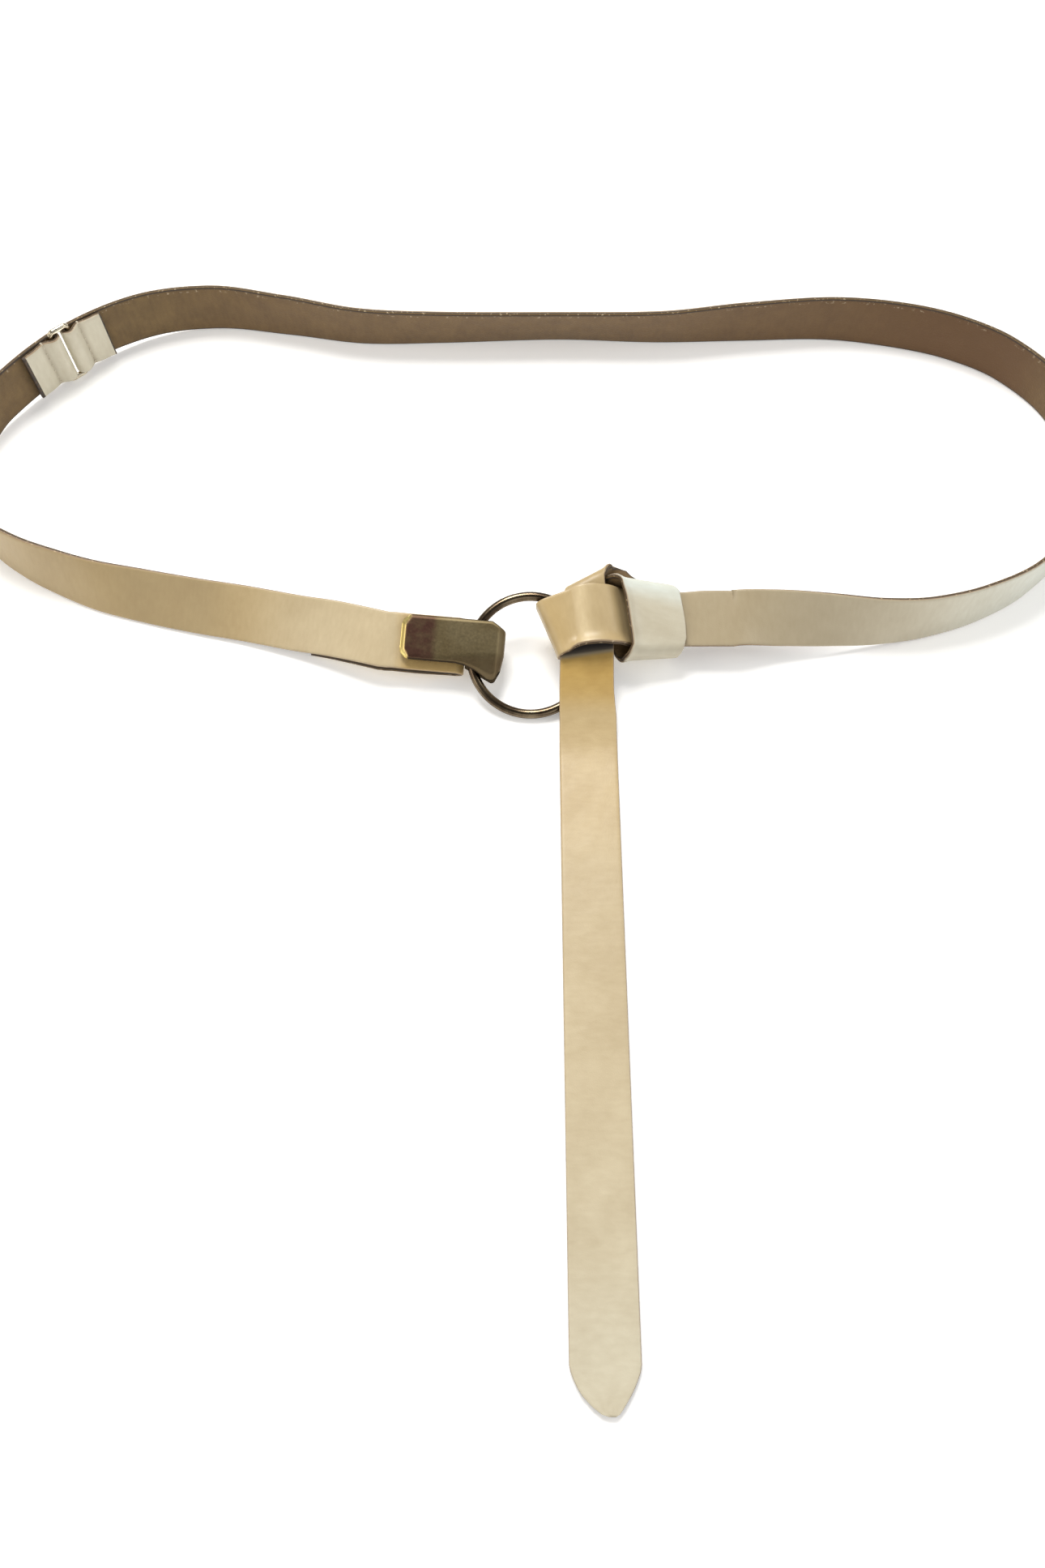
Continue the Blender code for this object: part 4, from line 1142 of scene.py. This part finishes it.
# The ring
# A closed ring of round wire, 45 mm across outside, in antique brass with a bronze bloom, its
# colour painted darker for the dark room it reflects. The hook holds its left side and the knot
# its right.
RING_SIDES = 192
WIRE_SIDES = 28
# The ring's colour is kept dark as a painted dark reflection, with duller patches of bloom
RING_BRIGHT = (0.20, 0.155, 0.10, 1.0)
RING_DULL = (0.09, 0.062, 0.04, 1.0)

bpy.ops.object.select_all(action="DESELECT")
bpy.ops.mesh.primitive_torus_add(
    major_segments=RING_SIDES,
    minor_segments=WIRE_SIDES,
    major_radius=RING_RADIUS,
    minor_radius=WIRE / 2,
    location=ring_middle,
    rotation=(math.pi / 2 - KNOT_LEAN, 0, 0),
)
ring = bpy.context.object
ring.name = "ring_wire"
bpy.ops.object.transform_apply(location=True, rotation=True, scale=True)
bpy.ops.object.shade_smooth()
ring_look, *_ = metal_look("antique ring", RING_BRIGHT, RING_DULL, roughness=0.16, spots=160.0)
ring.data.materials.append(ring_look)
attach(ring, "root")
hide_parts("ring")


# The hook plate
# One bent piece of brass: a flat plate with a rounded heel, a nose bent round behind the ring,
# and a leg that ends in a tongue on the bar inside the strap's fold.
PLATE_WIDTH = 0.0158
PLATE_THICKNESS = 0.0020
PLATE_RISE = 0.0010
PLATE_CORNER = 0.0038
NOSE_CHAMFER = 0.0048
NOSE_DROP = 0.0054
NOSE_REACH = 0.0170
TONGUE_WIDTH = 0.0080
HEEL_SLOPE = 0.0024
HEEL_THIN = 0.0013
HEEL_STEPS = 14
RIM = 0.00045
RIM_SOFT = 0.3
RIM_DARK = 0.55
CREASE_DROP = 0.16
CREASE_RISE = 0.0042
PLATE_STEP = 0.0004
OUTLINE_NUDGE = PLATE_STEP / 20
STEP_DOWN = PLATE_STEP / 8
FACE_ROWS = 14
LOWER_ROWS = 4
BEND_FACETS = 30
BEND_SQUARE = 0.55
CHAMFER_SLOPE = 0.60
BAR_INSET = 0.0007
BAR_SIDES = 24
TONGUE_END = CLASP_BAR / 3
SHARPEST = math.radians(35)
# Painted reflection on the plate: a cloudy purple-brown patch towards the heel and over the lower
# facet, gold with a painted highlight on the heel's bevel, and dark on the rims and round the bend
PURPLE_REFLECTION_END = 0.0105
PURPLE_REFLECTION_SOFT = 0.0030
LOWER_FACET_REFLECTION = 0.25
GOLD_RISE = 2
BEND_DARK = 0.60
BEND_RISE = 3
DARK_ROUGH = 0.85
REFLECTION_CLOUDS = 260.0
REFLECTION_SPAN = (0.30, 0.62)
REFLECTION_LEAST = 0.55
PLATE_BRIGHT = (0.43, 0.345, 0.19, 1.0)
PLATE_DULL = (0.33, 0.25, 0.125, 1.0)
PLATE_GOLD = (0.84, 0.68, 0.26, 1.0)
PLATE_PURPLE_REFLECTION = (0.205, 0.105, 0.076, 1.0)
PLATE_DARK = (0.060, 0.044, 0.028, 1.0)
# The plate's lower outline: share of the nose's reach, share of the nose's drop
LIP_ROWS = (
    (0.0, 0.0), (0.20, 0.10), (0.43, 0.38), (0.58, 0.68), (0.70, 0.92), (0.80, 0.98), (0.87, 0.84),
    (1.0, 0.29),
)


def plate_edges(x):
    # The upper and lower outline at a place along the plate
    heel = NOSE_REACH - PLATE_LENGTH
    top = PLATE_RISE + PLATE_WIDTH / 2
    low = PLATE_RISE - PLATE_WIDTH / 2
    cut = max(0.0, PLATE_CORNER - (x - heel))
    inset = PLATE_CORNER - math.sqrt(max(PLATE_CORNER**2 - cut**2, 0.0))
    upper = top - inset - CHAMFER_SLOPE * max(0.0, x - (NOSE_REACH - NOSE_CHAMFER))
    lower = low + inset
    for (a, fall_a), (b, fall_b) in zip(LIP_ROWS, LIP_ROWS[1:]):
        if a * NOSE_REACH <= x <= b * NOSE_REACH:
            along = (x / NOSE_REACH - a) / (b - a)
            lower = low - NOSE_DROP * (fall_a + (fall_b - fall_a) * along)
    return upper, lower


def heel_share(x, up):
    # 1 at the rounded heel's outline, falling to 0 over the heel's slope
    past = NOSE_REACH - PLATE_LENGTH + PLATE_CORNER - x
    if past <= 0:
        return 0.0
    over = max(0.0, abs(up - PLATE_RISE) - (PLATE_WIDTH / 2 - PLATE_CORNER))
    depth = PLATE_CORNER - math.hypot(past, over)
    return (1 - eased(depth / HEEL_SLOPE)) * eased(2 * past / PLATE_CORNER)


def crease_height(x):
    # Where the lower facet starts: it runs down from the lip's start towards the heel
    heel = NOSE_REACH - PLATE_LENGTH
    low = PLATE_RISE - PLATE_WIDTH / 2
    return low + CREASE_RISE * eased((x - heel - PLATE_CORNER) / (PLATE_LENGTH - PLATE_CORNER))


def plate_section(x, straight):
    # Up, height above the middle and share of gold and painted highlight, once round the plate at a
    # place along it
    upper, lower = plate_edges(x)
    half = PLATE_THICKNESS / 2
    crease = max(crease_height(x), lower + 2 * RIM)
    high = upper - RIM
    low = lower + RIM
    ups = [high - (high - crease) * k / FACE_ROWS for k in range(FACE_ROWS)]
    ups += [crease - (crease - low) * k / LOWER_ROWS for k in range(LOWER_ROWS + 1)]
    front = []
    for up in ups:
        gold_and_highlight = heel_share(x, up) if straight else 0.0
        fall = CREASE_DROP * max(0.0, crease - up)
        front.append((up, half - HEEL_THIN * gold_and_highlight**2 - fall, gold_and_highlight))
    _, height, gold_and_highlight = front[0]
    soft = RIM_SOFT * RIM
    rows = [(upper, -half + RIM, 0.0), (upper, height - RIM, gold_and_highlight), (upper - soft, height - soft, gold_and_highlight)]
    rows += front
    _, height, gold_and_highlight = front[-1]
    rows += [(lower + soft, height - soft, gold_and_highlight), (lower, height - RIM, gold_and_highlight)]
    return rows + [(lower, -half + RIM, 0.0), (low, -half, 0.0), (high, -half, 0.0)]


def hook_stations():
    # From the heel along the plate, round the nose and back along the leg to the tongue: along,
    # level, angle turned, place on the outline, and half the tongue's width where it is narrow
    plate_level = WIRE_LEVEL + WIRE / 2 + LAY_GAP + PLATE_THICKNESS / 2
    bend = (plate_level - clasp_leg) / 2
    nose = NOSE_REACH - bend - PLATE_THICKNESS / 2
    heel = NOSE_REACH - PLATE_LENGTH
    leg_end = CLASP_BAR / 2 + 2 * LAY_GAP + STRAP_THICKNESS
    rows = []
    past_corner = heel + PLATE_CORNER
    for k in range(HEEL_STEPS):
        x = past_corner - PLATE_CORNER * math.cos(math.pi / 2 * k / HEEL_STEPS)
        rows.append((x, plate_level, 0.0, x + OUTLINE_NUDGE, None))
    steps = round((nose - past_corner) / PLATE_STEP)
    for k in range(steps + 1):
        x = past_corner + (nose - past_corner) * k / steps
        rows.append((x, plate_level, 0.0, x, None))
    for k in range(1, BEND_FACETS + 1):
        angle = math.pi * k / BEND_FACETS
        sine, cosine = max(math.sin(angle), 0.0), math.cos(angle)
        x = nose + bend * sine**BEND_SQUARE
        level = clasp_leg + bend + bend * math.copysign(abs(cosine)**BEND_SQUARE, cosine)
        falling = math.copysign(abs(cosine) ** (2 - BEND_SQUARE), cosine)
        turned = math.atan2(sine ** (2 - BEND_SQUARE), falling)
        rows.append((x, level, turned, x + PLATE_THICKNESS / 2 * math.sin(turned), None))
    rows.append((leg_end, clasp_leg, math.pi, leg_end, None))
    rows.append((leg_end - STEP_DOWN, clasp_leg, math.pi, leg_end, TONGUE_WIDTH / 2))
    rows.append((TONGUE_END, clasp_leg, math.pi, leg_end, TONGUE_WIDTH / 2))
    return rows


def hook_plate():
    # The plate's sections joined from heel to tongue, with its shares of gold and painted highlight,
    # painted purple reflection and painted dark reflection
    bm = bmesh.new()
    gold_and_highlight = bm.verts.layers.float.new("gold_and_highlight")
    purple_reflection = bm.verts.layers.float.new("purple_reflection")
    dark = bm.verts.layers.float.new("dark")
    rings = []
    for x, level, turned, outline_x, narrow in hook_stations():
        ring = []
        for up, height, shine in plate_section(outline_x, turned == 0.0):
            if narrow is not None:
                up = min(max(up, -narrow), narrow)
            along = x + height * math.sin(turned)
            vert = bm.verts.new(clasp_point(along, up, level + height * math.cos(turned)))
            upper, lower = plate_edges(outline_x)
            from_edge = min(upper - up, up - lower)
            # Gold on the heel's rubbed bevel, which is also its painted highlight
            vert[gold_and_highlight] = eased(GOLD_RISE * shine)
            # A painted purple-brown reflection towards the heel and over the lower facet
            vert[purple_reflection] = 1 - eased((x - NOSE_REACH + PLATE_LENGTH - PURPLE_REFLECTION_END) / PURPLE_REFLECTION_SOFT)
            if up < crease_height(outline_x) - RIM:
                vert[purple_reflection] = max(vert[purple_reflection], LOWER_FACET_REFLECTION)
            # Painted dark reflection along the rims and round the bend
            vert[dark] = (1 - eased(from_edge / RIM - RIM_DARK)) * (1 - vert[gold_and_highlight])
            if turned > 0:
                vert[dark] = max(vert[dark], BEND_DARK * eased(BEND_RISE * math.sin(turned)))
            ring.append(vert)
        rings.append(ring)
    count = len(rings[0])
    for a, b in zip(rings, rings[1:]):
        for k in range(count):
            bm.faces.new((a[k], a[(k + 1) % count], b[(k + 1) % count], b[k]))
    bm.faces.new(rings[0][::-1])
    bm.faces.new(rings[-1])
    return piece_from("hook_plate_brass", bm)


def plate_look():
    # Olive brass with a painted purple-brown reflection towards the heel and over the lower facet, a
    # bevel rubbed back to gold and lit by a painted highlight, and rims and bend painted dark for the
    # dark they reflect
    look, tree, shader, ground, roughness = metal_look(
        "antique plate", PLATE_BRIGHT, PLATE_DULL, roughness=0.24, spots=90.0)
    place = tree.nodes.new("ShaderNodeTexCoord").outputs["Object"]
    cloudy = ranged(tree, noise(tree, place, REFLECTION_CLOUDS, 3.0), REFLECTION_SPAN, REFLECTION_LEAST)
    purple_reflection_share = combined(tree, "MULTIPLY", attribute(tree, "purple_reflection"), cloudy)
    purple_reflected = mixed(tree, purple_reflection_share, ground, PLATE_PURPLE_REFLECTION)
    gilded = mixed(tree, attribute(tree, "gold_and_highlight"), purple_reflected, PLATE_GOLD)
    dark = attribute(tree, "dark")
    tree.links.new(mixed(tree, dark, gilded, PLATE_DARK), shader.inputs["Base Color"])
    polish = tree.nodes.new("ShaderNodeMix")
    socket(polish, "B", DARK_ROUGH)
    tree.links.new(dark, polish.inputs["Factor"])
    tree.links.new(roughness, polish.inputs["A"])
    tree.links.new(polish.outputs[0], shader.inputs["Roughness"])
    return look


hook = hook_plate()
hook.data.materials.append(plate_look())
bpy.ops.object.select_all(action="DESELECT")
hook.select_set(True)
bpy.context.view_layer.objects.active = hook
bpy.ops.object.shade_smooth_by_angle(angle=SHARPEST)
bpy.ops.object.select_all(action="DESELECT")
bar_axes = Matrix((clasp_along, clasp_up, axis_out)).transposed()
bpy.ops.mesh.primitive_cylinder_add(
    vertices=BAR_SIDES,
    radius=CLASP_BAR / 2,
    depth=STRAP_WIDTH - 2 * BAR_INSET,
    location=clasp_point(0, 0, clasp_leg),
    rotation=(bar_axes @ Matrix.Rotation(math.pi / 2, 3, "X")).to_euler(),
)
bar = bpy.context.object
bpy.ops.object.transform_apply(location=True, rotation=True, scale=True)
bpy.ops.object.shade_smooth_by_angle(angle=SHARPEST)
hook.select_set(True)
bpy.context.view_layer.objects.active = hook
bpy.ops.object.join()
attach(hook, "root")
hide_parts("hook_plate")
